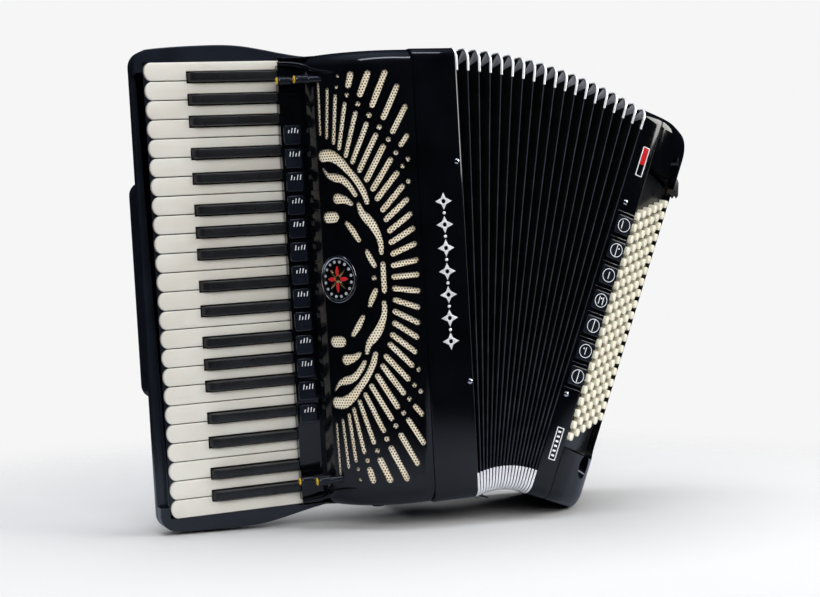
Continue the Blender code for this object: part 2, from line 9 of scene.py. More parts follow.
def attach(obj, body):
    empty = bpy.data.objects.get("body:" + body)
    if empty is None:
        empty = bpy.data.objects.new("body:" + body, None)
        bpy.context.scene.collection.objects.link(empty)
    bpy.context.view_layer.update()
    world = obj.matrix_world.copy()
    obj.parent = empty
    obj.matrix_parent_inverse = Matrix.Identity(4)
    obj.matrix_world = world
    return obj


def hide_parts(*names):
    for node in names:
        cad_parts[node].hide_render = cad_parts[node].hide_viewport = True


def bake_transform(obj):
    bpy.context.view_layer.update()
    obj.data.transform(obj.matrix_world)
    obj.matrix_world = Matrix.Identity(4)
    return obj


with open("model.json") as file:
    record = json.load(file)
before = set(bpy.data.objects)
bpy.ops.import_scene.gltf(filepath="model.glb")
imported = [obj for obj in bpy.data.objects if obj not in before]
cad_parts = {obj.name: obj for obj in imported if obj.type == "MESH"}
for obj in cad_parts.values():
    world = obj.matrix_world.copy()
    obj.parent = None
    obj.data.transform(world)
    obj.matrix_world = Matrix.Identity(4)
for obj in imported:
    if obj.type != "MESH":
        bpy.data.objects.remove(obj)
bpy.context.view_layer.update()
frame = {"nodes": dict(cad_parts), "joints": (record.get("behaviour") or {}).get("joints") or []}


# ---- The two halves of the accordion ----
# The keyboard half and the bass half are each built square in millimetres: x runs from keyboard to bass end,
# y from front to back, z from foot to top. The bellows fan about a line across their foot, so the two halves
# stand at an angle. Their places come from the bellows joint and from the way the knobs and buttons press.

joints = {joint["name"]: joint for joint in frame["joints"]}
FAN_LINE = Vector(joints["bellows_fan"]["pos_m"])
CLOSED = 58.0
FAN_OPEN = 22.5


def half_frame(along, start):
    x = Vector(along).normalized()
    y = Vector((0.0, 1.0, 0.0))
    place = Matrix((x, y, x.cross(y))).transposed().to_4x4()
    place.translation = start
    return place @ Matrix.Scale(0.001, 4)


treble_x = Vector(joints["chin_knobs_top_press"]["axis"])
bass_x = -Vector(joints["air_button_press"]["axis"])
TREBLE = half_frame(treble_x, FAN_LINE - treble_x * CLOSED / 2000)
BASS = half_frame(bass_x, FAN_LINE + bass_x * CLOSED / 2000)


# ---- Camera ----
# A long lens a little above the middle of the instrument and round to its left, leaning slightly.

CAMERA_TARGET = Vector((-30.0, 90.0, 209.0))
CAMERA_REACH = 1800.0
camera_turn = math.radians(-22.5)
camera_rise = math.radians(3.0)
camera_roll = math.radians(-3.15)
back = Vector((
    math.sin(camera_turn) * math.cos(camera_rise),
    -math.cos(camera_turn) * math.cos(camera_rise),
    math.sin(camera_rise),
))
level = (-back).cross(Vector((0.0, 0.0, 1.0))).normalized()
upward = level.cross(-back)
right = level * math.cos(camera_roll) + upward * math.sin(camera_roll)
top = upward * math.cos(camera_roll) - level * math.sin(camera_roll)
lens = bpy.data.cameras.new("camera")
lens.sensor_width = 36.0
lens.lens = 72.0
lens.clip_end = 50.0
camera = bpy.data.objects.new("camera", lens)
bpy.context.scene.collection.objects.link(camera)
upright = half_frame(treble_x, (0, 0, 0)).to_3x3().normalized()
aim = (upright @ Matrix((right, top, back)).transposed()).to_4x4()
camera.matrix_world = Matrix.Translation(TREBLE @ (CAMERA_TARGET + back * CAMERA_REACH)) @ aim
bpy.context.scene.camera = camera
bpy.context.scene.view_settings.view_transform = "Standard"


# ---- Floor and studio light ----
# A pale round table top that fades out into a pale room, lit by six soft boxes. The room itself is
# dark to the lacquer, so that the black cases stay black and only the boxes and the table show in them.

def shader_tree(material):
    material.use_nodes = True
    tree = material.node_tree
    return tree, tree.nodes["Principled BSDF"]


def linked(tree, kind, inputs=(), **settings):
    """A node with its settings made and its inputs filled: each input takes a number, a colour or a socket."""
    node = tree.nodes.new(kind)
    for key, value in settings.items():
        setattr(node, key, value)
    for key, value in dict(inputs).items():
        if isinstance(value, bpy.types.NodeSocket):
            tree.links.new(value, node.inputs[key])
        else:
            node.inputs[key].default_value = value
    return node


def ramp(tree, source, stops):
    node = linked(tree, "ShaderNodeValToRGB", {"Fac": source})
    points = node.color_ramp.elements
    while len(points) < len(stops):
        points.new(0.5)
    for point, (place, colour) in zip(points, stops):
        point.position = place
        point.color = (*colour, 1.0) if len(colour) == 3 else colour
    return node.outputs["Color"]


TABLE_RADIUS = 1.0
table = bpy.data.meshes.new("table_top")
round_top = bmesh.new()
bmesh.ops.create_circle(round_top, cap_ends=True, segments=96, radius=TABLE_RADIUS)
round_top.to_mesh(table)
round_top.free()
table_top = bpy.data.objects.new("table_top", table)
bpy.context.scene.collection.objects.link(table_top)
table_top.location.z = -0.0004
paper = bpy.data.materials.new("white_table")
tree, shader = shader_tree(paper)
shader.inputs["Roughness"].default_value = 0.75
# Rays reflected off the lacquer see the table painted a dark bluish grey instead of its pale colour: a painted
# reflection tint, not the table's own colour.
kind = linked(tree, "ShaderNodeLightPath")
table_colour_and_painted_reflection = linked(tree, "ShaderNodeMix", {"Factor": kind.outputs["Is Glossy Ray"]}, data_type="RGBA")
table_colour_and_painted_reflection.inputs[6].default_value = (0.59, 0.59, 0.592, 1.0)
table_colour_and_painted_reflection.inputs[7].default_value = (0.2, 0.225, 0.28, 1.0)
tree.links.new(table_colour_and_painted_reflection.outputs[2], shader.inputs["Base Color"])
spot = linked(tree, "ShaderNodeTexCoord")
reach = linked(tree, "ShaderNodeVectorMath", {0: spot.outputs["Object"]}, operation="LENGTH")
fade = linked(tree, "ShaderNodeMapRange", {
    "Value": reach.outputs["Value"], "From Min": 0.38, "From Max": TABLE_RADIUS * 0.9,
}, interpolation_type="SMOOTHSTEP")
clear = linked(tree, "ShaderNodeBsdfTransparent")
faded = linked(tree, "ShaderNodeMixShader", {
    0: fade.outputs["Result"], 1: shader.outputs["BSDF"], 2: clear.outputs["BSDF"],
})
tree.links.new(faded.outputs["Shader"], tree.nodes["Material Output"].inputs["Surface"])
table.materials.append(paper)

room = bpy.data.worlds.new("room")
bpy.context.scene.world = room
room.use_nodes = True
tree = room.node_tree
way = linked(tree, "ShaderNodeTexCoord")
height = linked(tree, "ShaderNodeSeparateXYZ", {"Vector": way.outputs["Generated"]})
dusk = ramp(tree, height.outputs["Z"], ((0.0, (0.004, 0.005, 0.008)), (0.6, (0.01, 0.012, 0.02)),
                                        (0.85, (0.06, 0.075, 0.11)), (1.0, (0.3, 0.35, 0.46))))
seen = linked(tree, "ShaderNodeBackground", {"Color": (0.92, 0.92, 0.92, 1.0), "Strength": 1.0})
unseen = linked(tree, "ShaderNodeBackground", {"Color": dusk, "Strength": 1.0})
path = linked(tree, "ShaderNodeLightPath")
both = linked(tree, "ShaderNodeMixShader", {
    0: path.outputs["Is Camera Ray"], 1: unseen.outputs["Background"], 2: seen.outputs["Background"],
})
tree.links.new(both.outputs["Shader"], tree.nodes["World Output"].inputs["Surface"])


def soft_box(name, place, target, width, height, power, colour=(1.0, 1.0, 1.0), mirrored=True):
    lamp = bpy.data.lights.new(name, "AREA")
    lamp.shape = "RECTANGLE"
    lamp.size = width
    lamp.size_y = height
    lamp.energy = power
    lamp.color = colour
    box = bpy.data.objects.new(name, lamp)
    bpy.context.scene.collection.objects.link(box)
    box.location = place
    box.rotation_euler = (Vector(target) - Vector(place)).to_track_quat("-Z", "Y").to_euler()
    box.visible_glossy = mirrored


soft_box("top_light", (0.0, 0.25, 2.2), (0.0, 0.05, 0.2), 1.9, 1.3, 44.0, mirrored=False)
soft_box("left_light", (-1.9, -1.2, 1.5), (-0.1, 0.0, 0.25), 1.5, 1.7, 20.0, (0.95, 0.97, 1.0),
         mirrored=False)
soft_box("right_light", (1.9, -1.1, 1.2), (0.2, 0.0, 0.3), 1.4, 1.3, 42.0, (1.0, 0.99, 0.96))
soft_box("front_fill", (-0.5, -2.4, 1.3), (0.0, 0.0, 0.25), 1.6, 1.2, 42.0, (1.0, 0.99, 0.97), mirrored=False)
soft_box("back_light", (0.4, 2.2, 1.4), (0.0, 0.0, 0.25), 1.6, 1.0, 16.0, mirrored=False)
soft_box("edge_light", (0.0, -0.7, 2.1), (0.0, 0.0, 0.4), 1.5, 0.25, 7.0, (0.86, 0.92, 1.0))


# ---- Treble case ----
# A wooden box behind the keyboard, open towards the bellows, sprayed with black celluloid lacquer and
# polished. Two steel lugs on its back carry the shoulder straps. Steel pins on its front hold the bellows on.

LOW = -3.0
HIGH = 473.4
DEPTH = 195.0
WALL = 7.0
CORNER = 12.0
LUG_HEIGHTS = (36.0, 434.4)
TREBLE_PINS = ((-6.0, 354.0), (-4.0, 122.0))


def finish(name, tones, rough, grain, relief, metallic=0.0, weave=0.0, pores=0.0, scratch=0.0, **sockets):
    """A finish with mottled colour, uneven gloss and a fine surface relief. Grain is in marks per metre."""
    made = bpy.data.materials.new(name)
    tree, shader = shader_tree(made)
    spot = linked(tree, "ShaderNodeTexCoord").outputs["Object"]
    mottle = linked(tree, "ShaderNodeTexNoise", {"Vector": spot, "Scale": grain * 0.12, "Detail": 5.0})
    tree.links.new(ramp(tree, mottle.outputs["Fac"], ((0.3, tones[0]), (0.7, tones[1]))),
                   shader.inputs["Base Color"])
    streak = linked(tree, "ShaderNodeTexNoise", {"Vector": spot, "Scale": grain * 0.5, "Detail": 8.0,
                                                 "Roughness": 0.65})
    gloss = linked(tree, "ShaderNodeMapRange", {
        "Value": streak.outputs["Fac"], "From Min": 0.3, "From Max": 0.75, "To Min": rough[0],
        "To Max": rough[1],
    })
    tree.links.new(gloss.outputs["Result"], shader.inputs["Roughness"])
    if weave:
        over = linked(tree, "ShaderNodeTexWave", {"Vector": spot, "Scale": weave, "Distortion": 0.4},
                      bands_direction="DIAGONAL")
        turned_spot = linked(tree, "ShaderNodeMapping", {"Vector": spot, "Rotation": (0.0, 1.57, 0.8)})
        under = linked(tree, "ShaderNodeTexWave", {"Vector": turned_spot.outputs["Vector"], "Scale": weave,
                                                   "Distortion": 0.4}, bands_direction="DIAGONAL")
        height = linked(tree, "ShaderNodeMath", {0: over.outputs["Fac"], 1: under.outputs["Fac"]},
                        operation="MAXIMUM").outputs["Value"]
    elif pores:
        height = linked(tree, "ShaderNodeTexVoronoi", {"Vector": spot, "Scale": pores, "Smoothness": 0.4},
                        feature="SMOOTH_F1").outputs["Distance"]
    else:
        height = linked(tree, "ShaderNodeTexNoise",
                        {"Vector": spot, "Scale": grain, "Detail": 3.0}).outputs["Fac"]
    bump = linked(tree, "ShaderNodeBump", {"Height": height, "Strength": 0.4, "Distance": relief})
    if scratch:
        drawn = linked(tree, "ShaderNodeMapping", {"Vector": spot, "Scale": (1.0, 18.0, 1.0)})
        lines = linked(tree, "ShaderNodeTexNoise", {"Vector": drawn.outputs["Vector"], "Scale": scratch})
        bump = linked(tree, "ShaderNodeBump", {"Height": lines.outputs["Fac"], "Strength": 0.25,
                                               "Distance": relief, "Normal": bump.outputs["Normal"]})
    tree.links.new(bump.outputs["Normal"], shader.inputs["Normal"])
    shader.inputs["Metallic"].default_value = metallic
    for key, value in sockets.items():
        shader.inputs[key.replace("_", " ")].default_value = value
    return made


LACQUER = finish("black_lacquer", ((0.0009, 0.001, 0.0014), (0.002, 0.0023, 0.0034)), (0.06, 0.11), 220.0,
                 0.00001,
                 Coat_Weight=0.3, Coat_Roughness=0.05)
CHROME = finish("polished_steel", ((0.74, 0.75, 0.78), (0.86, 0.87, 0.9)), (0.08, 0.22), 700.0, 0.00002,
                metallic=1.0, scratch=900.0)


def loop(low, high, radius, steps=7):
    """A rectangle with rounded corners, anticlockwise."""
    radius = max(radius, 0.4)
    (a0, b0), (a1, b1) = low, high
    corners = ((a1 - radius, b0 + radius, -90), (a1 - radius, b1 - radius, 0),
               (a0 + radius, b1 - radius, 90), (a0 + radius, b0 + radius, 180))
    points = []
    for a, b, start in corners:
        for step in range(steps + 1):
            angle = math.radians(start + 90 * step / steps)
            points.append((a + radius * math.cos(angle), b + radius * math.sin(angle)))
    return points


def lofted(rows, ring=False, caps=True):
    """A skin over rows of points of equal number, each row a closed loop. A ring's last row meets its first."""
    shape = bmesh.new()
    loops = [[shape.verts.new(point) for point in row] for row in rows]
    count = len(rows[0])
    pairs = list(zip(loops, loops[1:]))
    if ring:
        pairs.append((loops[-1], loops[0]))
    for one, other in pairs:
        for k in range(count):
            shape.faces.new((one[k], one[(k + 1) % count], other[(k + 1) % count], other[k]))
    if caps and not ring:
        shape.faces.new(loops[0])
        shape.faces.new(list(reversed(loops[-1])))
    bmesh.ops.recalc_face_normals(shape, faces=shape.faces)
    return shape


def board(outlines, low, high, along="z", bevel=0.5, steps=2):
    """A flat outline with its holes, made thick from low to high along an axis, with its edges rounded."""
    curve = bpy.data.curves.new("outline", "CURVE")
    curve.dimensions = "2D"
    curve.fill_mode = "BOTH"
    curve.extrude = (high - low) / 2 - bevel
    curve.bevel_depth = bevel
    curve.bevel_resolution = steps
    curve.offset = -bevel
    for outline in outlines:
        spline = curve.splines.new("POLY")
        spline.points.add(len(outline) - 1)
        for point, (a, b) in zip(spline.points, outline):
            point.co = (a, b, 0.0, 1.0)
        spline.use_cyclic_u = True
    drawn = bpy.data.objects.new("outline", curve)
    bpy.context.scene.collection.objects.link(drawn)
    bpy.context.view_layer.update()
    mesh = bpy.data.meshes.new_from_object(drawn.evaluated_get(bpy.context.evaluated_depsgraph_get()))
    bpy.data.objects.remove(drawn)
    shape = bmesh.new()
    shape.from_mesh(mesh)
    bpy.data.meshes.remove(mesh)
    middle = (low + high) / 2
    for vertex in shape.verts:
        a, b, c = vertex.co
        c += middle
        vertex.co = {"x": (c, a, b), "y": (a, c, b), "z": (a, b, c)}[along]
    bmesh.ops.remove_doubles(shape, verts=shape.verts, dist=0.002)
    bmesh.ops.recalc_face_normals(shape, faces=shape.faces)
    return shape


def turned(profile, foot, way, steps=28):
    """A turned piece: radius and height pairs spun about a line from foot in the direction way."""
    way = Vector(way).normalized()
    side = way.orthogonal().normalized()
    other = way.cross(side)
    rows = []
    for radius, height in profile:
        middle = Vector(foot) + way * height
        rows.append([middle + (side * math.cos(2 * math.pi * k / steps)
                               + other * math.sin(2 * math.pi * k / steps))
                     * radius for k in range(steps)])
    return lofted(rows)


def joined(shapes):
    """Several shapes as one mesh."""
    whole = bmesh.new()
    for shape in shapes:
        part = bpy.data.meshes.new("part")
        shape.to_mesh(part)
        shape.free()
        whole.from_mesh(part)
        bpy.data.meshes.remove(part)
    return whole


def piece(name, shape, place, material, sharp=38.0):
    """A shape in a half's own millimetres, put in its place as an object with its finish on."""
    mesh = bpy.data.meshes.new(name)
    shape.transform(place)
    shape.to_mesh(mesh)
    shape.free()
    mesh.shade_smooth()
    mesh.set_sharp_from_angle(angle=math.radians(sharp))
    mesh.materials.append(material)
    obj = bpy.data.objects.new(name, mesh)
    bpy.context.scene.collection.objects.link(obj)
    return obj


def fixed(made, body, slot=None, *nodes):
    """Fixes a piece to a body and hides the plain nodes that it stands for; its slot is not used."""
    if nodes:
        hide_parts(*nodes)
    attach(made, body)


def ring_points(a, b, radius, count=16):
    """Points evenly round a circle."""
    return [(a + radius * math.cos(2 * math.pi * k / count), b + radius * math.sin(2 * math.pi * k / count))
            for k in range(count)]


def case_rows(steps, low, high, depth):
    """Loops of a case for each x and inset given."""
    return [[(x, a, b) for a, b in loop((inset, low + inset), (depth - inset, high - inset), CORNER - inset)]
            for x, inset in steps]


treble_rows = case_rows(((-50.0, 1.4), (-49.7, 0.6), (-49.0, 0.15), (-48.0, 0.0), (-2.0, 0.0), (-0.8, 0.2),
                         (-0.2, 0.7), (0.0, 1.6), (0.0, WALL), (-44.0, WALL)), LOW, HIGH, DEPTH)
treble_case = piece("treble_case_lacquered", lofted(treble_rows), TREBLE, LACQUER)
fixed(treble_case, "treble", "gloss_black", "treble_case")

for number, height in enumerate(LUG_HEIGHTS, 1):
    tip = DEPTH + 7.0
    tongue = [(tip + 7 * math.sin(math.radians(a)), height - 7 * math.cos(math.radians(a)))
              for a in range(0, 181, 15)]
    tongue = [(DEPTH - 3, height - 7), *tongue, (DEPTH - 3, height + 7)]
    eye = ring_points(tip, height, 3.0, 24)
    lug = piece(f"strap_lug_{number}", board([tongue, eye], -29.0, -21.0, "x", 0.8), TREBLE, CHROME)
    fixed(lug, "treble", "steel")


def pin_head(name, place, spot, way, body):
    """A domed steel pin with a narrower collar under its head."""
    profile = ((2.2, -1.0), (2.2, 0.2), (3.0, 0.4), (3.1, 1.0), (2.6, 1.8), (1.5, 2.4), (0.3, 2.6))
    head = piece(name, turned(profile, spot, (0, way, 0), 20), place, CHROME)
    fixed(head, body, "steel")


for number, (x, height) in enumerate(TREBLE_PINS, 1):
    pin_head(f"treble_pin_front_{number}", TREBLE, (x, 0.0, height), -1, "treble")
    pin_head(f"treble_pin_back_{number}", TREBLE, (x, DEPTH, height), 1, "treble")


# ---- Inlaid ornament on the treble case ----
# A row of silver lozenges and small studs pressed into the lacquer between the two pins.

LOZENGE_LOW = 166.0
LOZENGE_PITCH = 24.5
INLAY_X = -23.5
SILVER = finish("silver_inlay", ((0.66, 0.67, 0.7), (0.86, 0.87, 0.9)), (0.2, 0.38), 500.0, 0.00003,
                metallic=0.3, scratch=600.0)
shapes = []
for number in range(7):
    z = LOZENGE_LOW + LOZENGE_PITCH * number
    star = [(-9.5, 0.0), (-2.6, -3.4), (0.0, -9.0), (2.6, -3.4), (9.5, 0.0), (2.6, 3.4), (0.0, 9.0),
            (-2.6, 3.4)]
    star = [(INLAY_X + a, z + b) for a, b in star]
    shapes.append(board([star, ring_points(INLAY_X, z, 2.4, 12)], -0.7, 0.6, "y", 0.3))
    if number < 6:
        shapes.append(turned(((1.7, -0.5), (1.7, 0.4), (1.2, 0.8), (0.3, 1.0)),
                             (INLAY_X, 0.0, z + LOZENGE_PITCH / 2), (0, -1, 0), 14))
inlay = piece("treble_inlay", joined(shapes), TREBLE, SILVER)
fixed(inlay, "treble", "steel")


# ---- Keyboard bed ----
# A lacquered board under the keys whose ends swell in a low hump, with a rim round the keys and, behind,
# a block that rests on the player's leg. It is glued up from beech and polished like the case.

NOTES = "FGABCDEFGABCDEFGABCDEFGA"
PITCH = 19.6
LENGTH = 138.0
LIP = -174.0
KEYBOARD = len(NOTES) * PITCH
KEY_END = LIP - 1.0 - LENGTH
KEY_TOP = 80.0
KEY_THICK = 12.5
BED_FRONT = 98.5
RIM_FRONT = 84.0


def flowing(points, steps=6):
    """A smooth line through the given points."""
    found = []
    for k in range(len(points) - 1):
        p0, p1, p2, p3 = (Vector(points[min(max(k + j, 0), len(points) - 1)]) for j in (-1, 0, 1, 2))
        for step in range(steps):
            t = step / steps
            found.append(tuple(0.5 * (2 * p1 + (p2 - p0) * t + (2 * p0 - 5 * p1 + 4 * p2 - p3) * t * t
                                      + (3 * p1 - p0 - 3 * p2 + p3) * t * t * t)))
    found.append(tuple(points[-1]))
    return found


def heading(line, k, size):
    """The direction of a line at its point k, from the first size numbers of its points."""
    return (Vector(line[min(k + 1, len(line) - 1)][:size]) - Vector(line[max(k - 1, 0)][:size])).normalized()


hump = 17.3
left = KEY_END - 10.0
bed_right = -50.3
half = KEYBOARD / 2
upper = [(left, half - 12)]
for step in range(7):
    angle = math.radians(180 - 14 * step)
    upper.append((left + 17 + 17 * math.cos(angle), half + hump - 20.5 + 17 * math.sin(angle)))
upper += [(left + 30, half + hump - 2.2), (left + 58, half + hump - 0.7)]
for step in range(6):
    share = step / 5
    upper.append((left + 92 + (bed_right - left - 162) * share,
                  half + hump - (hump - 3) * (1 - math.cos(math.pi * share)) / 2))
upper.append((bed_right, half + 3))
upper = flowing(upper)
outline = [(x, z + half) for x, z in upper] + [(x, half - z) for x, z in reversed(upper)]
inside = ((bed_right, -1.2), (KEY_END - 2.0, -1.2), (KEY_END - 2.0, KEYBOARD + 1.2),
          (bed_right, KEYBOARD + 1.2))
BED = finish("blue_black_lacquer", ((0.0065, 0.008, 0.012), (0.0105, 0.013, 0.0195)), (0.08, 0.16), 200.0,
             0.00001,
             Coat_Weight=0.3, Coat_Roughness=0.05)
floor_board = piece("keyboard_bed_board", board([outline], BED_FRONT, 112.5, "y", 3.0, 3), TREBLE, BED)
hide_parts("keyboard_bed")
rim = piece("keyboard_rim", board([outline + list(inside)], RIM_FRONT, BED_FRONT + 3.2, "y", 1.6, 3),
            TREBLE, BED)
rest_block = board([loop((KEY_END - 4, half - 116), (-60.0, half + 116), 14)], 110.0, 168.5, "y", 4.0, 3)
rest_block = piece("leg_rest", rest_block, TREBLE, BED)
for made in (floor_board, rim, rest_block):
    fixed(made, "treble", "gloss_black")
screws = []
for x in (KEY_END + 16.0, -78.0):
    for z in (half - 98.0, half + 98.0):
        screws.append(turned(((4.6, -0.8), (4.6, 0.2), (3.6, 0.9), (1.9, 1.3), (1.8, 0.6), (0.3, 0.6)),
                             (x, 168.5, z),
                             (0, 1, 0), 20))
screws = piece("leg_rest_screws", joined(screws), TREBLE, CHROME)
fixed(screws, "treble", "steel")

AXLE_STEEL = finish("drawn_steel", ((0.35, 0.35, 0.37), (0.5, 0.5, 0.52)), (0.25, 0.45), 600.0, 0.00003,
                    metallic=1.0, scratch=500.0)


def refinished(node, material):
    """Gives a plain node that stays in sight a better finish."""
    finishes = frame["nodes"][node].data.materials
    finishes.clear()
    finishes.append(material)


refinished("key_axle", AXLE_STEEL)


# ---- White keys ----
# Spruce levers faced with thick warm-white celluloid, rounded at the playing end and notched for the black
# keys. Each turns on the steel axle under the cover's lip.

BLACK_SHIFT = {"F": 3.5, "G": 0.0, "A": -3.0, "C": 3.0, "D": -3.0}
BLACK_LENGTH = 93.0
KEY_SPACE = 0.8
KEY_TAIL = -169.0
WHITE = finish("white_celluloid", ((0.575, 0.545, 0.49), (0.65, 0.625, 0.575)), (0.14, 0.3), 160.0, 0.00002,
               Subsurface_Weight=0.06, Coat_Weight=0.25, Coat_Roughness=0.12)


def black_middle(index):
    """z of the black key below this white key, or None where there is none."""
    if index < 0 or index >= len(NOTES) - 1 or NOTES[index] not in BLACK_SHIFT:
        return None
    return KEYBOARD - (index + 1) * PITCH + BLACK_SHIFT[NOTES[index]]


for index, note in enumerate(NOTES):
    high = KEYBOARD - index * PITCH - KEY_SPACE / 2
    low = high - PITCH + KEY_SPACE
    room = 6.1
    notch = LIP - 2.0 - BLACK_LENGTH
    above = black_middle(index - 1)
    below = black_middle(index)
    upper_edge = min(high, above - room) if above else high
    lower_edge = max(low, below + room) if below else low
    shape = []
    for step in range(-8, 9):
        angle = step / 8 * math.pi / 2
        across = math.sin(angle) * (high - low) / 2
        shape.append((KEY_END + 7.0 * (1 - math.cos(angle)), (low + high) / 2 - across))
    if lower_edge > low:
        shape += [(notch, low), (notch, lower_edge)]
    shape += [(KEY_TAIL, lower_edge), (KEY_TAIL, upper_edge)]
    if upper_edge < high:
        shape += [(notch, upper_edge), (notch, high)]
    name = f"white_key_{index + 1:02d}_{note}"
    key = piece(f"key_face_{index + 1:02d}_{note}", board([shape], KEY_TOP, KEY_TOP + KEY_THICK, "y", 1.3, 3),
                TREBLE, WHITE)
    fixed(key, name, "ivory_keys", name)


# ---- Black keys ----
# Moulded satin-black blocks, narrower at the top, with a sloping nose, screwed on their own levers.

EBONY = finish("satin_ebony", ((0.006, 0.006, 0.007), (0.013, 0.0135, 0.016)), (0.24, 0.42), 260.0, 0.00005,
               Coat_Weight=0.15, Coat_Roughness=0.25)


def key_section(top, half_top, half_foot, round_off=1.6):
    """The outline of a black key across its length, round at its two upper edges."""
    points = [(half_foot, KEY_TOP + KEY_THICK)]
    for sign in (1, -1):
        arc = []
        for step in range(5):
            angle = math.radians(90 * step / 4)
            arc.append((sign * (half_top - round_off + round_off * math.cos(angle)),
                        top + round_off - round_off * math.sin(angle)))
        points += arc if sign > 0 else arc[::-1]
    points.append((-half_foot, KEY_TOP + KEY_THICK))
    return points


number = 0
for index, note in enumerate(NOTES):
    middle = black_middle(index)
    if middle is None:
        continue
    number += 1
    nose = LIP - 1.0 - BLACK_LENGTH
    rows = []
    for x, top_y, half_top, half_foot in ((0.0, 79.5, 3.9, 4.6), (0.5, 78.2, 4.3, 5.2), (2.6, 74.8, 4.5, 5.5),
                                          (4.6, 72.9, 4.6, 5.5), (6.6, 72.15, 4.7, 5.5),
                                          (9.0, 72.0, 4.7, 5.5),
                                          (93.5, 72.0, 4.7, 5.5), (94.0, 72.6, 4.3, 5.0)):
        rows.append([(nose + x, y, middle + across) for across, y in key_section(top_y, half_top, half_foot)])
    name = f"black_key_{number:02d}_{note}sharp"
    key = piece(f"key_block_{number:02d}_{note}sharp", lofted(rows), TREBLE, EBONY)
    fixed(key, name, "black_keys", name)


# ---- Grille cover ----
# A shell of bent sheet metal over the key levers, lacquered black. Its front is one long curve whose ends
# roll over to the case. Rays, dots and leaf shapes are cut through it to let the sound out.

COVER_RADIUS = 96.0
COVER_TURN = math.radians(69.0)
COVER_START = -50.6
FLAT = 9.4
COVER_WIDTH = FLAT + COVER_RADIUS * COVER_TURN
COVER_WALL = 2.2
ROLL = 21.0
MIDDLE = 237.6
# Each ray's far end, then its near end: millimetres round the curve from the case, and up from the middle.
LONG_RAYS = ((104, 204, 105, 152), (93, 197, 97, 148), (84, 190, 89, 142), (74, 181, 83, 136),
             (63, 171, 76, 128),
             (52, 159, 69, 121), (43, 147, 62, 112), (36, 135, 55, 102), (29, 121, 49, 92), (23, 107, 45, 82),
             (18, 93, 40, 70), (14, 79, 37, 60), (11, 64, 34, 48), (9, 49, 33, 36), (8, 33, 32, 24),
             (7, 16, 32, 12), (7, 1, 32, 0))
SHORT_RAYS = ((66, 211, 69, 200, 3.3), (48, 211, 57, 190, 3.3), (30, 211, 45, 178, 3.0),
              (18, 196, 34, 165, 2.9),
              (10, 175, 25, 150, 2.9), (10, 145, 17, 136, 2.7))
DOTS = ((80, 210, 2.0), (82, 199, 2.1), (71, 190, 2.5), (60, 180, 2.7), (49, 168, 2.9), (39, 155, 2.8),
        (30, 142, 2.7), (23, 128, 2.6), (16.5, 114, 2.6), (10, 121, 2.7), (11, 98, 2.6))
LEAVES = (((103, 129, 6.2), (94, 129, 6.2), (84, 123, 5.0), (74, 112, 3.7), (66, 102, 3.4), (59, 89, 3.1),
           (56, 79, 2.7)),
          ((104, 116, 1.1), (98, 109, 2.4), (90, 106, 4.3), (81, 103, 3.8), (73, 95, 2.9), (68, 87, 2.4)),
          ((88, 84, 5.6), (79, 82, 3.8), (73, 78, 2.3)),
          ((101, 65, 5.8), (93, 65, 5.8)),
          ((79, 58, 2.4), (73, 50, 3.3), (67, 40, 2.4)),
          ((65, 77, 2.2), (62, 68, 3.4), (57, 62, 4.7), (51, 54, 4.4), (46, 43, 3.2), (44, 34, 2.7),
           (44, 26, 2.4)),
          ((59, 28, 2.2), (56, 21, 3.0), (52, 13, 2.5)))


def round_end(end, ahead):
    """Points round the end of a strip, from its left side to its right."""
    found = []
    for step in range(1, 6):
        angle = math.pi / 2 - math.pi * step / 6
        side = Vector((-ahead.y, ahead.x)) * math.sin(angle) + ahead * math.cos(angle)
        found.append((end[0] + side.x * end[2], end[1] + side.y * end[2]))
    return found


def strip(points, steps=5):
    """The outline of a shape with round ends drawn along a smooth line of (u, v, half width)."""
    line = flowing(points, steps) if len(points) > 2 else [tuple(points[0]), tuple(points[-1])]
    one, other, ways = [], [], []
    for k, (u, v, wide) in enumerate(line):
        ahead = heading(line, k, 2)
        ways.append(ahead)
        one.append((u - ahead.y * wide, v + ahead.x * wide))
        other.append((u + ahead.y * wide, v - ahead.x * wide))
    return one + round_end(line[-1], ways[-1]) + other[::-1] + round_end(line[0], -ways[0])


def on_cover(u, v, lift=0.0):
    """A point on the cover, u round from the case and v up it, lifted off its face."""
    if u <= FLAT:
        face = Vector((COVER_START - u, 0.0))
        out = Vector((0.0, -1.0))
    else:
        angle = (u - FLAT) / COVER_RADIUS
        out = Vector((-math.sin(angle), -math.cos(angle)))
        face = Vector((COVER_START - FLAT, COVER_RADIUS)) + out * COVER_RADIUS
    near = min(v - LOW, HIGH - v)
    lean = max(0.0, min(1.0, (ROLL - near) / ROLL))
    drop = ROLL * (1 - math.sqrt(max(0.0, 1 - lean * lean)))
    across = math.sqrt(max(0.0, 1 - lean * lean))
    face += out * (lift * across - drop)
    rise = lift * lean * (1 if v > MIDDLE else -1)
    return Vector((face.x, face.y, v + rise))


def mirrored(outline):
    return [outline, [(u, 2 * MIDDLE - v) for u, v in outline]]


slots = []
for index, (u0, v0, u1, v1) in enumerate(LONG_RAYS):
    wide = 1.8 + 1.1 * min(1.0, index / 7)
    outline = strip(((u0, MIDDLE + v0, wide), (u1, MIDDLE + v1, wide)))
    slots += mirrored(outline) if v0 > 2 else [outline]
for u0, v0, u1, v1, wide in SHORT_RAYS:
    slots += mirrored(strip(((u0, MIDDLE + v0, wide), (u1, MIDDLE + v1, wide))))
for u, v, wide in DOTS:
    slots += mirrored(ring_points(u, MIDDLE + v, wide))
for leaf in LEAVES:
    slots += mirrored(strip([(u, MIDDLE + v, wide) for u, v, wide in leaf]))
slots.append(strip(((43, MIDDLE + 14, 2.6), (43, MIDDLE - 14, 2.6))))
slots.append(ring_points(53, MIDDLE, 2.6))

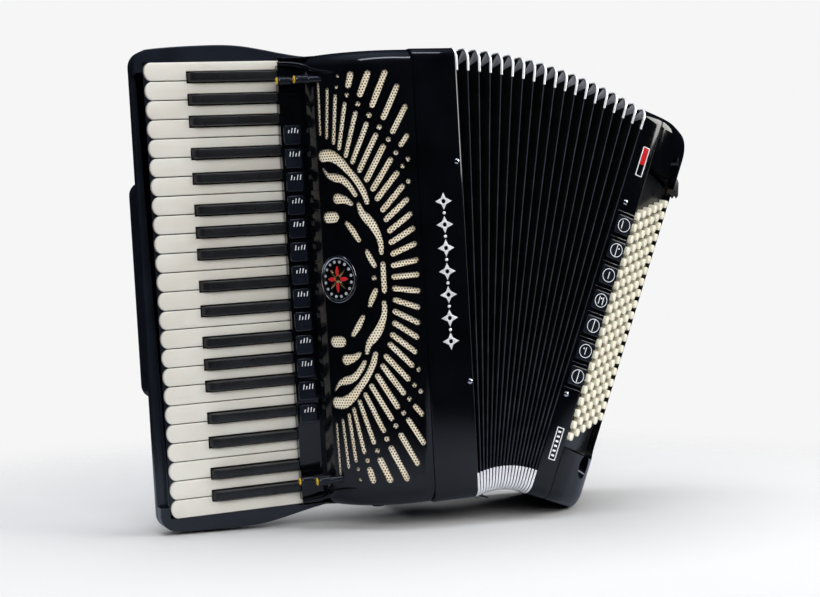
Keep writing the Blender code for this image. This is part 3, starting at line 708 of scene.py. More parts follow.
sheet_edge = [(0.0, LOW + 0.3), (COVER_WIDTH, LOW + 0.3), (COVER_WIDTH, HIGH - 0.3), (0.0, HIGH - 0.3)]
shell = board([sheet_edge] + slots, -COVER_WALL, 0.0, "z", 0.35, 1)
cuts = [((u, 0, 0), (1, 0, 0)) for u in [FLAT + 3.86 * k for k in range(30)]]
for angle in (8, 16, 24, 32, 40, 48, 56, 64, 72, 80, 86):
    near = ROLL * (1 - math.sin(math.radians(angle)))
    cuts += [((0, LOW + near, 0), (0, 1, 0)), ((0, HIGH - near, 0), (0, 1, 0))]
for place, way in cuts:
    bmesh.ops.bisect_plane(shell, geom=shell.verts[:] + shell.edges[:] + shell.faces[:], plane_co=place,
                           plane_no=way,
                           dist=0.0005)
bmesh.ops.recalc_face_normals(shell, faces=shell.faces)
flat_spots = [vertex.co.copy() for vertex in shell.verts]
for vertex in shell.verts:
    vertex.co = on_cover(*vertex.co)
cover = piece("grille_shell", shell, TREBLE, LACQUER, 30.0)
turn = TREBLE.to_3x3().normalized()
smooth = [(turn @ (on_cover(spot.x, spot.y, 1.0) - on_cover(spot.x, spot.y))).normalized()
          for spot in flat_spots]
normals = []
for face in cover.data.polygons:
    for corner in face.vertices:
        facing = face.normal.dot(smooth[corner])
        normals.append(smooth[corner] * math.copysign(1.0, facing) if abs(facing) > 0.9
                       else face.normal.copy())
cover.data.normals_split_custom_set(normals)
fixed(cover, "treble", "gloss_black", "grille_cover")


def section(inset):
    """The cover's outline across the keyboard, moved inwards."""
    points = []
    for step in range(25):
        spot = on_cover(FLAT + (COVER_WIDTH - FLAT) * step / 24, MIDDLE, -inset)
        points.append((spot.x, spot.y))
    return [(COVER_START, inset)] + points


for name, low, high in (("cover_foot", LOW + 0.2, LOW + 2.8), ("cover_head", HIGH - 2.8, HIGH - 0.2)):
    edge = section(ROLL - 2.0) + [(-150.0, 78.0), (LIP + 1.0, 78.0), (LIP + 5.0, 83.5), (COVER_START, 83.5)]
    end_wall = piece(name, board([edge], low, high, "z", 0.8), TREBLE, LACQUER)
    fixed(end_wall, "treble", "gloss_black")


def swept(points, radii, steps=14):
    """A round bead along a smooth line, thicker or thinner from point to point."""
    line = flowing([(*point, radius) for point, radius in zip(points, radii)], 6)
    rows = []
    for k, (x, y, z, radius) in enumerate(line):
        ahead = heading(line, k, 3)
        side = ahead.cross(Vector((0, 0, 1))).normalized()
        other = side.cross(ahead)
        rows.append([Vector((x, y, z)) + (side * math.cos(2 * math.pi * j / steps)
                                          + other * math.sin(2 * math.pi * j / steps)) * radius
                                          for j in range(steps)])
    return lofted(rows)


for name, side in (("foot", 1.0), ("head", -1.0)):
    end = LOW if side > 0 else HIGH
    path = [Vector((LIP - 1.0, 67.0, end + side * 8.0)), Vector((-160.0, 65.0, end + side * 9.0)),
            on_cover(COVER_WIDTH - 1.0, end + side * 12.0, -0.6),
            on_cover(COVER_WIDTH - 14.0, end + side * 17.0, -0.6),
            on_cover(COVER_WIDTH - 30.0, end + side * 20.5, -0.6),
            on_cover(COVER_WIDTH - 50.0, end + side * 21.5, -1.2)]
    bead = piece(f"cover_bead_{name}", swept(path, (2.2, 2.8, 3.0, 2.7, 2.0, 0.7)), TREBLE, LACQUER)
    fixed(bead, "treble", "gloss_black")


# ---- Perforated sheet ----
# A pale gold anodised sheet behind the cover's cut-outs, punched all over with small round holes in rows
# set half a step apart. The holes are not cut: each is painted near black, as painted shade for the dark case
# behind, with a slight dent.

HOLE_PITCH = 3.2
HOLE_RADIUS = 0.72
gold = finish("pale_gold_sheet", ((0.93, 0.79, 0.56), (1.0, 0.92, 0.76)), (0.3, 0.5), 500.0, 0.00003,
              metallic=0.05,
              scratch=300.0)
tree = gold.node_tree
shader = tree.nodes["Principled BSDF"]
plan = linked(tree, "ShaderNodeUVMap", uv_map="sheet").outputs["UV"]
holes = []
for shift in (0.0, 0.5):
    stepped = linked(tree, "ShaderNodeMapping", {
        "Vector": plan, "Location": (shift, shift, 0.0),
        "Scale": (1 / HOLE_PITCH, 1 / (HOLE_PITCH * 1.732), 1.0),
    })
    part = linked(tree, "ShaderNodeVectorMath", {0: stepped.outputs["Vector"]}, operation="FRACTION")
    centred = linked(tree, "ShaderNodeVectorMath", {0: part.outputs["Vector"], 1: (0.5, 0.5, 0.0)},
                     operation="SUBTRACT")
    sized = linked(tree, "ShaderNodeVectorMath",
                   {0: centred.outputs["Vector"], 1: (HOLE_PITCH, HOLE_PITCH * 1.732, 0)},
                   operation="MULTIPLY")
    holes.append(linked(tree, "ShaderNodeVectorMath", {0: sized.outputs["Vector"]}, operation="LENGTH"))
nearest = linked(tree, "ShaderNodeMath", {0: holes[0].outputs["Value"], 1: holes[1].outputs["Value"]},
                 operation="MINIMUM")
rim_of_hole = linked(tree, "ShaderNodeMapRange", {"Value": nearest.outputs["Value"], "From Min": HOLE_RADIUS,
                                                  "From Max": HOLE_RADIUS + 0.2})
# Each hole is painted near black: painted shade standing for the dark inside of the case seen through it.
was = shader.inputs["Base Color"].links[0].from_socket
hole_shade_mix = linked(tree, "ShaderNodeMix", {"Factor": rim_of_hole.outputs["Result"]}, data_type="RGBA")
hole_shade_mix.inputs[6].default_value = (0.004, 0.003, 0.002, 1.0)
tree.links.new(was, hole_shade_mix.inputs[7])
tree.links.new(hole_shade_mix.outputs[2], shader.inputs["Base Color"])
dent = linked(tree, "ShaderNodeBump",
              {"Height": rim_of_hole.outputs["Result"], "Strength": 0.6, "Distance": 0.0003})
tree.links.new(shader.inputs["Normal"].links[0].from_socket, dent.inputs["Normal"])
tree.links.new(dent.outputs["Normal"], shader.inputs["Normal"])

us = [3.0 + (COVER_WIDTH - 5.0) * k / 44 for k in range(45)]
vs = [LOW + 15.0 + (HIGH - LOW - 30.0) * k / 30 for k in range(31)]
screen = bmesh.new()
uv = screen.loops.layers.uv.new("sheet")
for lift in (-3.0, -3.8):
    grid = [[screen.verts.new(on_cover(u, v, lift)) for u in us] for v in vs]
    for j in range(len(vs) - 1):
        for k in range(len(us) - 1):
            corners = [(j, k), (j, k + 1), (j + 1, k + 1), (j + 1, k)]
            face = screen.faces.new([grid[a][b] for a, b in corners])
            for corner, (a, b) in zip(face.loops, corners):
                corner[uv].uv = (us[b], vs[a])
edges = [edge for edge in screen.edges if edge.is_boundary]
bmesh.ops.bridge_loops(screen, edges=edges)
bmesh.ops.recalc_face_normals(screen, faces=screen.faces)
screen = piece("perforated_sheet", screen, TREBLE, gold)
fixed(screen, "treble", "gold_mesh", "grille_mesh")


# ---- Oval medallion ----
# A pressed ornament on the cover: a chromed rim round black enamel, with a red and gilt rosette and a ring
# of small cut glass stones.

MEDAL_U = 92.0
MEDAL_V = 238.0


def on_medal(radius, angle, lift):
    return on_cover(MEDAL_U + radius * 21.0 * math.cos(angle), MEDAL_V + radius * 25.0 * math.sin(angle),
                    lift)


def medal_ring(profile, steps=56):
    """A skin round the medallion: share of its radius, and height over the cover."""
    return [[on_medal(radius, 2 * math.pi * k / steps, lift) for k in range(steps)]
            for radius, lift in profile]


RED = finish("red_enamel", ((0.42, 0.01, 0.012), (0.62, 0.02, 0.02)), (0.08, 0.2), 300.0, 0.00004,
             Coat_Weight=0.6)
GILT = finish("gilding", ((0.72, 0.46, 0.14), (0.9, 0.66, 0.28)), (0.16, 0.32), 500.0, 0.00004, metallic=1.0)
GLASS = finish("cut_glass", ((0.72, 0.76, 0.84), (0.92, 0.95, 1.0)), (0.02, 0.1), 900.0, 0.00003,
               metallic=0.7)
field = piece("medallion_field", lofted(medal_ring(((0.9, 0.05), (0.9, 0.7), (0.6, 1.1), (0.2, 1.3)))),
              TREBLE, LACQUER)
rim_profile = ((0.86, 0.1), (0.86, 1.2), (0.89, 1.8), (0.93, 2.0), (0.98, 1.7), (1.0, 1.0), (1.0, 0.1))
medal_rim = piece("medallion_rim", lofted(medal_ring(rim_profile), ring=True), TREBLE, CHROME)
petals = []
gilt = []
for number in range(8):
    angle = math.pi * number / 4
    kind = petals if number % 2 == 0 else gilt
    spread = 0.20 if number % 2 == 0 else 0.12
    rows = []
    for reach, wide, lift in ((0.08, 0.35, 1.0), (0.2, 0.9, 2.0), (0.34, 1.0, 2.3), (0.46, 0.7, 2.0),
                              (0.56, 0.16, 1.2)):
        row = []
        for k in range(10):
            swing = 2 * math.pi * k / 10
            row.append(on_medal(reach, angle + spread * wide * math.cos(swing) / max(reach * 2.2, 0.35),
                                lift + 0.5 * math.sin(swing)))
        rows.append(row)
    kind.append(lofted(rows))
gilt.append(lofted(medal_ring(((0.15, 0.9), (0.15, 2.2), (0.1, 2.9), (0.03, 3.2)), 20)))
stones = []
for number in range(16):
    angle = 2 * math.pi * (number + 0.5) / 16
    spot = on_medal(0.73, angle, 0.8)
    out = on_medal(0.73, angle, 2.0) - spot
    stones.append(turned(((1.6, 0.0), (1.7, 0.7), (1.2, 1.3), (0.6, 1.5)), spot, out, 8))
rosette = piece("medallion_rosette", joined(petals), TREBLE, RED)
gilt = piece("medallion_gilding", joined(gilt), TREBLE, GILT)
stones = piece("medallion_stones", joined(stones), TREBLE, GLASS, 12.0)
for made in (field, medal_rim, rosette, gilt, stones):
    fixed(made, "treble")


# ---- Register panel ----
# The flat lip of the cover above the keys, with a raised bead along it, that carries the register tabs.

PANEL_FACE = 70.0
panel = [(-149.2, 62.4), (-150.6, 68.2), (-153.0, PANEL_FACE), (LIP, PANEL_FACE), (LIP, 77.5),
         (LIP + 2.6, 77.5),
         (LIP + 2.6, 73.0), (-149.0, 73.0), (-146.5, 66.0)]
panel = piece("register_panel", board([panel], LOW + 9.0, HIGH - 9.0, "z", 0.7, 2), TREBLE, LACQUER)
fixed(panel, "treble", "gloss_black")


# ---- Register tabs ----
# Thirteen blue-black tabs on one slide under the panel, each with four short slanted strokes printed in
# white. Pressed, they tip the reed slides.

TABS = 13
TAB_PITCH = 24.5
FIRST_TAB = half + 8.5 - TAB_PITCH * (TABS - 1) / 2
TAB_BLACK = finish("blue_black_tab", ((0.004, 0.0052, 0.009), (0.008, 0.01, 0.016)), (0.16, 0.3), 300.0,
                   0.00002,
                   Coat_Weight=0.4, Coat_Roughness=0.1)
PRINT = finish("white_print", ((0.62, 0.64, 0.68), (0.8, 0.81, 0.84)), (0.35, 0.55), 900.0, 0.00002)
tabs = []
strokes = []
for number in range(TABS):
    z = FIRST_TAB + TAB_PITCH * number
    tabs.append(board([loop((LIP + 1.6, z - 10.2), (-153.6, z + 10.2), 2.6, 4)], 64.5, 68.6, "y", 1.3, 3))
    for k in range(4):
        x = -168.0 + 3.3 * k
        tall = 5.2 if (number + 2 * k) % 3 else 3.4
        corner = [(x, z + 2.0), (x + 1.0, z + 2.0), (x + 1.0 + tall * 0.2, z + 2.0 + tall),
                  (x + tall * 0.2, z + 2.0 + tall)]
        strokes.append(board([corner], 64.36, 64.75, "y", 0.1, 1))
tabs = piece("register_tabs", joined(tabs), TREBLE, TAB_BLACK)
fixed(tabs, "treble_registers", "satin_black", "treble_registers")
fixed(piece("register_tab_strokes", joined(strokes), TREBLE, PRINT), "treble_registers")


# ---- Chin knobs ----
# Two turned black knobs on a slide at each end of the cover, pressed with the chin. Each has a grooved grip
# and a yellow cap let into its face.

KNOB_TIPS = ((-180.0, 57.0), (-166.0, 42.0))
KNOB_PLACES = (("bottom", 28.0), ("top", 446.4))
YELLOW = finish("yellow_cap", ((0.78, 0.5, 0.02), (0.9, 0.62, 0.05)), (0.2, 0.36), 300.0, 0.00003)
for where, z in KNOB_PLACES:
    grips = []
    caps = []
    for x, y in KNOB_TIPS:
        profile = [(3.4, -46.0), (3.4, -16.0), (4.3, -15.4)]
        for groove in range(5):
            start = -14.0 + groove * 2.4
            profile += [(4.5, start), (4.5, start + 1.3), (4.1, start + 1.6), (4.1, start + 2.1)]
        profile += [(4.5, -1.8), (4.4, -0.6), (4.1, -0.1), (3.8, -0.4), (0.4, -0.5)]
        grips.append(turned(profile, (x, y, z), (-1, 0, 0), 24))
        grips.append(turned(((0.9, 0.1), (0.9, 0.7), (0.3, 0.85)), (x, y, z), (-1, 0, 0), 12))
        caps.append(turned(((3.9, -0.7), (3.9, 0.0), (3.4, 0.3), (1.8, 0.5), (0.2, 0.5)), (x, y, z),
                           (-1, 0, 0), 20))
    grips = piece(f"chin_knob_grips_{where}", joined(grips), TREBLE, TAB_BLACK, 50.0)
    fixed(grips, f"chin_knobs_{where}", "satin_black", f"chin_knobs_{where}")
    fixed(piece(f"chin_knob_caps_{where}", joined(caps), TREBLE, YELLOW), f"chin_knobs_{where}")


# ---- Treble foot ----
# A stepped rubber foot screwed under the case, which the instrument is put down on when it is upright.

RUBBER = finish("black_rubber", ((0.012, 0.012, 0.013), (0.022, 0.022, 0.023)), (0.55, 0.75), 400.0, 0.00008)
foot = piece("treble_foot", turned(((9.0, -0.6), (9.0, 2.4), (7.6, 3.0), (7.6, 6.0), (6.4, 7.0), (2.0, 7.2)),
                                   (-89.0, 68.0, LOW), (0, 0, -1)), TREBLE, RUBBER)
fixed(foot, "treble")


# ---- Bellows ----
# Nineteen crests and eighteen folds of card, glued with black cloth and leather gussets, and bound along
# every crest with tape. Bent chromed guards are pinned over each crest's corners. The folds join the halves.

FOLDS = 18
BASS_LOW = 6.0
BASS_HIGH = 448.0
BASS_DEPTH = 190.0
VALLEY = 19.0
MID_HEIGHT = 220.0
CORNER_RUN = 19.0        # length of a guard's stretch round a corner
CLOTH = finish("bellows_cloth", ((0.001, 0.0011, 0.0013), (0.0026, 0.0028, 0.0032)), (0.6, 0.9), 500.0,
               0.0003,
               weave=260.0, Specular_IOR_Level=0.12)
TAPE = finish("crest_tape", ((0.013, 0.015, 0.022), (0.036, 0.041, 0.055)), (0.4, 0.65), 500.0, 0.0002,
              weave=420.0, Specular_IOR_Level=0.3)
GUSSET_WITH_TOP_SHEEN = finish("leather_gusset_painted_sheen", ((0.03, 0.032, 0.04), (0.11, 0.115, 0.13)), (0.35, 0.6), 600.0, 0.0004,
                pores=900.0, Sheen_Weight=0.3)
GUARD = finish("nickelled_guard", ((0.8, 0.81, 0.85), (0.92, 0.93, 0.97)), (0.16, 0.3), 700.0, 0.00002,
               metallic=0.35, Coat_Weight=0.5, Coat_Roughness=0.08)


def crest_frame(share):
    """The plane of a crest, or between two, as share of the way from the treble to the bass half."""
    turn = Matrix.Rotation(math.radians(FAN_OPEN) * share, 4, "Y")
    closed = CLOSED * (share - 0.5)
    return Matrix.Translation(FAN_LINE) @ turn @ upright.to_4x4() @ Matrix.Scale(0.001, 4), closed


def crest_size(share):
    """A crest's foot, head and depth: they change evenly from the treble to the bass half."""
    return (LOW + (BASS_LOW - LOW) * share, HIGH + (BASS_HIGH - HIGH) * share,
            DEPTH + (BASS_DEPTH - DEPTH) * share)


def crest_middle(share):
    """A point in the middle of a crest's plane, and the way across that plane."""
    place, closed = crest_frame(share)
    return place @ Vector((closed, 0.0, MID_HEIGHT)), (place.to_3x3() @ Vector((1, 0, 0))).normalized()


def crest_loop(share, inset, shift=0.0):
    """A rounded outline in a crest's plane, moved inwards from its edge and along from its plane."""
    place, closed = crest_frame(share)
    low, high, deep = crest_size(share)
    outline = loop((inset, low + inset), (deep - inset, high - inset), CORNER - inset)
    return [place @ Vector((closed + shift, a, b)) for a, b in outline]


def bend_between(obj):
    """Bakes a piece of the bellows' place into its mesh."""
    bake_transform(obj)


for fold in range(FOLDS):
    one, other = fold / FOLDS, (fold + 1) / FOLDS
    mid = (one + other) / 2
    rows = [crest_loop(one, 1.6, 0.15), crest_loop(one + (mid - one) * 0.12, 2.4),
            crest_loop(mid - (mid - one) * 0.12, VALLEY - 1.0),
            crest_loop(mid, VALLEY), crest_loop(mid + (other - mid) * 0.12, VALLEY - 1.0),
            crest_loop(other - (other - mid) * 0.12, 2.4), crest_loop(other, 1.6, -0.15),
            crest_loop(other, 4.4, -0.15), crest_loop(mid, VALLEY + 2.5), crest_loop(one, 4.4, 0.15)]
    cloth = piece(f"bellows_fold_{fold + 1:02d}", lofted(rows, ring=True), Matrix.Identity(4), CLOTH)
    cloth.data.materials.append(GUSSET_WITH_TOP_SHEEN)
    around = len(rows[0])
    # Only the two top corners of each fold, near its crests, take the lighter leather: the gussets are real,
    # but their light grey there is painted sheen where the top light falls.
    for face in cloth.data.polygons:
        side, spot = divmod(face.index, around)
        if side in (0, 1, 4, 5) and spot in (*range(8, 15), *range(16, 23)):
            face.material_index = 1
    if fold == 0:
        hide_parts("bellows_frame_1", "bellows_frame_2", "bellows_frame_3")
    bend_between(cloth)


def corner_arc(share, front, top, reach, lift, half_wide, count=14):
    """A bent strip over one corner of a crest, as rows across it: it runs reach down each side."""
    place, closed = crest_frame(share)
    low, high, deep = crest_size(share)
    rows = []
    for step in range(count + 1):
        t = step / count * (2 * reach[0] + CORNER_RUN) - reach[0]
        if t < 0:
            a, b, na, nb = 0.0, CORNER - t, -1.0, 0.0
        elif t > CORNER_RUN:
            a, b, na, nb = CORNER + (t - CORNER_RUN) * reach[1], 0.0, 0.0, -1.0
        else:
            angle = t / CORNER_RUN * math.pi / 2
            na, nb = -math.cos(angle), -math.sin(angle)
            a, b = CORNER + CORNER * na, CORNER + CORNER * nb
        row = []
        for wide, up in ((-half_wide, -0.8), (-half_wide, lift * 0.6), (-half_wide * 0.6, lift),
                         (half_wide * 0.6, lift),
                         (half_wide, lift * 0.6), (half_wide, -0.8)):
            pa, pb = a + na * up, b + nb * up
            y = pa if front else deep - pa
            z = high - pb if top else low + pb
            row.append(place @ Vector((closed + wide, y, z)))
        rows.append(row)
    return rows


for crest in range(FOLDS + 1):
    share = crest / FOLDS
    tape = lofted([crest_loop(share, 3.0, -0.4), crest_loop(share, 1.1, -0.4), crest_loop(share, 0.8, -0.2),
                   crest_loop(share, 0.8, 0.2), crest_loop(share, 1.1, 0.4), crest_loop(share, 3.0, 0.4)],
                   ring=True)
    tape = piece(f"crest_tape_{crest + 1:02d}", tape, Matrix.Identity(4), TAPE)
    guards = []
    for front in (True, False):
        guards.append(lofted(corner_arc(share, front, True, (12.0, 0.9), 0.35, 1.15)))
        guards.append(lofted(corner_arc(share, front, False, (15.0, 0.9), 0.35, 1.15)))
    guards = piece(f"crest_guards_{crest + 1:02d}", joined(guards), Matrix.Identity(4), GUARD)
    for made in (tape, guards):
        if crest == 0:
            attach(made, "treble")
        elif crest == FOLDS:
            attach(made, "bass")
        else:
            middle, way = crest_middle(share)
            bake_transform(made)


# ---- Bellows strap ----
# The lower end of the strap that holds the bellows shut, hanging under the treble case, with its chromed
# snap. The strap is black rubbered cloth, and the snap is riveted through it.

strap_line = [(-20.0, -3.4), (-8.0, -4.0), (4.0, -4.4), (14.0, -6.0), (22.0, -8.6)]
strap_rows = []
for x, z in flowing(strap_line, 4):
    strap_rows.append([(x, y, z + lift) for y, lift in loop((26.0, -0.9), (44.0, 0.9), 0.8, 3)])
strap_end = piece("bellows_strap", lofted(strap_rows), TREBLE, RUBBER)
snap = piece("bellows_strap_snap", turned(((4.6, -0.4), (4.6, 0.6), (3.8, 1.3), (1.6, 1.7), (0.3, 1.7)),
                                          (15.0, 35.0, -7.0), (0.3, 0, -1), 24), TREBLE, CHROME)
fixed(strap_end, "treble")
fixed(snap, "treble", "steel")


# ---- Bass case and end cover ----
# The bass case is a shallow box like the treble's. Its end cover is moulded in one bulging shape, black
# lacquered, with a slanted window let into its front for the buttons and rubber feet on its flat end.

BASS_END = 98.0
PLATE_SLOPE = math.radians(39.8)
PLATE_START = Vector((27.7, 11.9, 0.0))
ALONG = Vector((math.cos(PLATE_SLOPE), math.sin(PLATE_SLOPE), 0.0))
OUT = Vector((math.sin(PLATE_SLOPE), -math.cos(PLATE_SLOPE), 0.0))
FIELD_LOW = 66.0
FIELD_HIGH = 388.0
FEET = ((92, 40), (92, 400), (174, 30), (174, 408))
AIR = (104.0, 372.0)
BASS_PINS = ((8.0, 341.6), (7.7, 121.1))

bass_rows = case_rows(((0.0, WALL), (0.0, 1.6), (0.2, 0.7), (0.8, 0.2), (2.0, 0.0), (22.6, 0.0), (23.5, 0.2),
                       (24.0, 0.8), (24.0, WALL), (18.0, WALL)), BASS_LOW, BASS_HIGH, BASS_DEPTH)
bass_case = piece("bass_case_lacquered", lofted(bass_rows), BASS, LACQUER)
fixed(bass_case, "bass", "gloss_black", "bass_case")
for number, (x, height) in enumerate(BASS_PINS, 1):
    pin_head(f"bass_pin_front_{number}", BASS, (x, 0.0, height), -1, "bass")
    pin_head(f"bass_pin_back_{number}", BASS, (x, BASS_DEPTH, height), 1, "bass")


def plate_frame():
    """Millimetres in the button plate: x up its slope, y up the instrument, z off its face."""
    place = Matrix((ALONG, Vector((0.0, 0.0, 1.0)), OUT)).transposed().to_4x4()
    place.translation = PLATE_START
    return place


def end_row(x):
    """The end cover's outline at x: its front swings back and its top and foot round off towards the end."""
    plan = flowing([(24.3, 0.0), (33.0, 0.6), (42.0, 3.0), (52.0, 9.2), (63.0, 17.0), (72.0, 25.3),
                    (80.0, 34.5),
                    (87.0, 45.0), (92.0, 56.0), (96.0, 68.0), (98.0, 80.0)], 8)
    front = 80.0
    for (x0, y0), (x1, y1) in zip(plan, plan[1:]):
        if x0 <= x <= x1:
            front = y0 + (y1 - y0) * (x - x0) / max(x1 - x0, 1e-6)
            break
    edge = min(1.0, max(0.0, (x - BASS_END + 30.0) / 30.0))
    drop = 30.0 * (1 - math.sqrt(max(0.0, 1 - edge * edge)))
    edge = min(1.0, max(0.0, (x - BASS_END + 15.0) / 15.0))
    rise = 15.0 * (1 - math.sqrt(max(0.0, 1 - edge * edge)))
    tuck = 5.0 * (1 - math.sqrt(max(0.0, 1 - max(0.0, (x - BASS_END + 5.0) / 5.0) ** 2)))
    turn = 12.0 + 8.0 * min(1.0, (x - 24.0) / 40.0)
    return [(x, a, b) for a, b in loop((front, BASS_LOW + rise), (BASS_DEPTH - tuck, BASS_HIGH - drop),
                                       turn, 9)]


end_rows = [[(24.3, a, b)
             for a, b in loop((1.0, BASS_LOW + 1.0), (BASS_DEPTH - 1.0, BASS_HIGH - 1.0), 11.0, 9)]]
end_rows += [end_row(x) for x in (24.8, 27.0, 30.0, *range(34, 79, 4), 81.0, 84.0, 86.5, 89.0, 91.0, 92.7,
                                  94.2, 95.5, 96.5, 97.3, 97.8, 98.0)]
end_cover = piece("bass_cover_shell", lofted(end_rows), BASS, LACQUER)


def hollowed(obj, cutters):
    """The piece with shapes cut away, and its edges sharp again where they meet."""
    for cutter in cutters:
        modifier = obj.modifiers.new("cut", "BOOLEAN")
        modifier.operation = "DIFFERENCE"
        modifier.object = cutter
    bpy.context.view_layer.update()
    mesh = bpy.data.meshes.new_from_object(obj.evaluated_get(bpy.context.evaluated_depsgraph_get()))
    obj.modifiers.clear()
    obj.data = mesh
    mesh.shade_smooth()
    mesh.set_sharp_from_angle(angle=math.radians(24))
    for cutter in cutters:
        bpy.data.objects.remove(cutter)


window = board([loop((-17.0, FIELD_LOW - 2.0), (78.0, FIELD_HIGH + 2.0), 16.0, 7)], -3.6, 70.0, "z", 0.3, 1)
scoops = []
for height, lean in ((57.0, -1.0), (399.0, 1.0)):
    scoops.append(turned(((7.4, -12.0), (7.4, 3.0), (12.0, 8.0), (16.0, 40.0)),
                         PLATE_START + ALONG * 34.0 + Vector((0.0, 0.0, height)),
                         OUT + Vector((0.0, 0.0, 0.2 * lean)), 28))
cutters = [piece("window_cutter", window, BASS @ plate_frame(), LACQUER)]
cutters += [piece(f"scoop_cutter_{k}", scoop, BASS, LACQUER) for k, scoop in enumerate(scoops)]
cutters.append(piece("air_cutter", turned(((5.5, -14.0), (5.5, 6.0)), (BASS_END, *AIR), (1, 0, 0), 24),
                     BASS, LACQUER))
hollowed(end_cover, cutters)
fixed(end_cover, "bass", "gloss_black", "bass_end_cover")

for number, (y, z) in enumerate(FEET, 1):
    profile = ((7.0, -1.0), (7.0, 3.0), (6.6, 3.4), (6.6, 5.6), (5.6, 8.4), (4.6, 9.0), (2.2, 9.0),
               (2.0, 8.0), (0.4, 7.8))
    rubber_foot = piece(f"bass_foot_{number}", turned(profile, (BASS_END, y, z), (1, 0, 0), 24), BASS, RUBBER)
    fixed(rubber_foot, "bass")

ribbed = [(BASS_END + 3.6 + (6.2 - 0.6 * (k % 2)) * math.cos(k * math.pi / 20),
           400.0 + (6.2 - 0.6 * (k % 2)) * math.sin(k * math.pi / 20)) for k in range(40)]
wheel = piece("strap_wheel", board([ribbed], 73.6, 79.6, "y", 0.4), BASS, EBONY, 20.0)
cheek = [(BASS_END - 12.0, 386.0), (BASS_END + 5.0, 388.6), (BASS_END + 11.0, 384.6),
         (BASS_END + 12.4, 388.4),
         (BASS_END + 8.0, 403.0), (BASS_END + 2.0, 409.0), (BASS_END - 12.0, 411.0)]
cheeks = [board([cheek], y, y + 1.8, "y", 0.4) for y in (71.4, 80.0)]
cheeks = piece("strap_wheel_bracket", joined(cheeks), BASS, EBONY)
for made in (wheel, cheeks):
    fixed(made, "bass", "satin_black")

seam = board([loop((0.5, BASS_LOW + 0.5), (BASS_DEPTH - 0.5, BASS_HIGH - 0.5), 11.5),
              loop((3.0, BASS_LOW + 3.0), (BASS_DEPTH - 3.0, BASS_HIGH - 3.0), 9.0)], 23.7, 24.6, "x", 0.2, 1)
seam = piece("bass_seam_line", seam, BASS, EBONY)
fixed(seam, "bass", "satin_black")


# ---- Bass button board ----
# A satin black board closes the slanted window. It carries six slanted rows of twenty flat-topped
# ivory-coloured buttons, each in a black collar, which work the bass reeds.

ROWS = 6
COLUMNS = 20
BUTTON_PITCH = 13.38
ROW_PITCH = 14.0
STAGGER = 7.0
FIRST_BUTTON = 79.2
plate = board([loop((-2.0, FIELD_LOW + 1.2), (75.2, FIELD_HIGH - 1.2), 3.0, 3)], -2.8, 0.0, "z", 0.6)
plate = piece("button_board", plate, BASS @ plate_frame(), EBONY)
fixed(plate, "bass_buttons", "satin_black", "bass_buttons")
IVORY = finish("ivory_button", ((0.9, 0.84, 0.66), (0.97, 0.94, 0.82)), (0.14, 0.3), 500.0, 0.00002,
               Subsurface_Weight=0.05, Coat_Weight=0.2, Coat_Roughness=0.1)
button_shape = bpy.data.meshes.new("bass_button")
shape = turned(((4.1, -0.6), (4.1, 0.6), (4.45, 1.0), (4.5, 7.6), (4.4, 8.2), (4.1, 8.6), (3.5, 8.82),
                (2.0, 8.95),
                (0.3, 9.0)), (0, 0, 0), (0, 0, 1), 24)
shape.transform(Matrix.Scale(0.001, 4))
shape.to_mesh(button_shape)
shape.free()
button_shape.shade_smooth()
button_shape.set_sharp_from_angle(angle=math.radians(60))
button_shape.materials.append(IVORY)
collar_shapes = []
for row in range(ROWS):
    for column in range(COLUMNS):
        spot = Vector((row * ROW_PITCH, FIRST_BUTTON + row * STAGGER + column * BUTTON_PITCH, 0.0))
        button = bpy.data.objects.new(f"bass_button_{row + 1}_{column + 1:02d}", button_shape)
        bpy.context.scene.collection.objects.link(button)
        turn = (BASS @ plate_frame()).to_3x3().normalized().to_4x4()
        button.matrix_world = Matrix.Translation(BASS @ plate_frame() @ spot) @ turn
        fixed(button, "bass_buttons", "ivory_buttons")
        collar_shapes.append(turned(((5.3, -0.3), (5.3, 0.35), (5.0, 0.6), (4.6, 0.5), (4.6, -0.3)), spot,
                                    (0, 0, 1), 16))
collars = piece("button_collars", joined(collar_shapes), BASS @ plate_frame(), LACQUER)
fixed(collars, "bass_buttons")


# ---- Bass registers ----
# Seven square black tabs on the front of the bass case, each with a printed ring and its own mark of lines
# and dots in it, divided by thin light lines.

TAB_STEP = 28.9
TAB_LOW = 143.0
TAB_MIDDLE = 12.8
# Each tab's bars: shift from its middle, and half length.
TAB_BARS = (((0.0, 6.6),), ((0.0, 4.0),), ((0.0, 6.6),), ((-2.4, 4.4), (2.4, 4.4)), ((0.0, 4.0),),
            ((0.0, 6.6),), ((-2.4, 4.4),))


def printed(outlines):
    """A thin printed shape on the face of a bass register."""
    return board(outlines, -4.34, -4.0, "y", 0.08, 1)


tabs = []
marks = []
for number in range(7):
    z = TAB_LOW + TAB_STEP * number
    tabs.append(board([loop((3.0, z - 10.4), (22.6, z + 10.4), 2.2, 4)], -4.2, -1.6, "y", 1.0, 3))
    marks.append(printed([ring_points(TAB_MIDDLE, z, 7.6, 36), ring_points(TAB_MIDDLE, z, 6.9, 36)]))
    for shift, tall in TAB_BARS[number]:
        middle = TAB_MIDDLE + shift
        marks.append(printed([loop((middle - 0.45, z - tall), (middle + 0.45, z + tall), 0.4, 2)]))
    if number % 2:
        marks.append(turned(((0.9, -0.2), (0.9, 0.1), (0.2, 0.12)),
                            (TAB_MIDDLE + 2.6 * (number - 3) / 2, -4.2, z + 2.4), (0, -1, 0), 12))
tabs = piece("bass_register_tabs", joined(tabs), BASS, TAB_BLACK)
fixed(tabs, "bass_registers", "satin_black", "bass_registers")
fixed(piece("bass_register_marks", joined(marks), BASS, PRINT), "bass_registers")
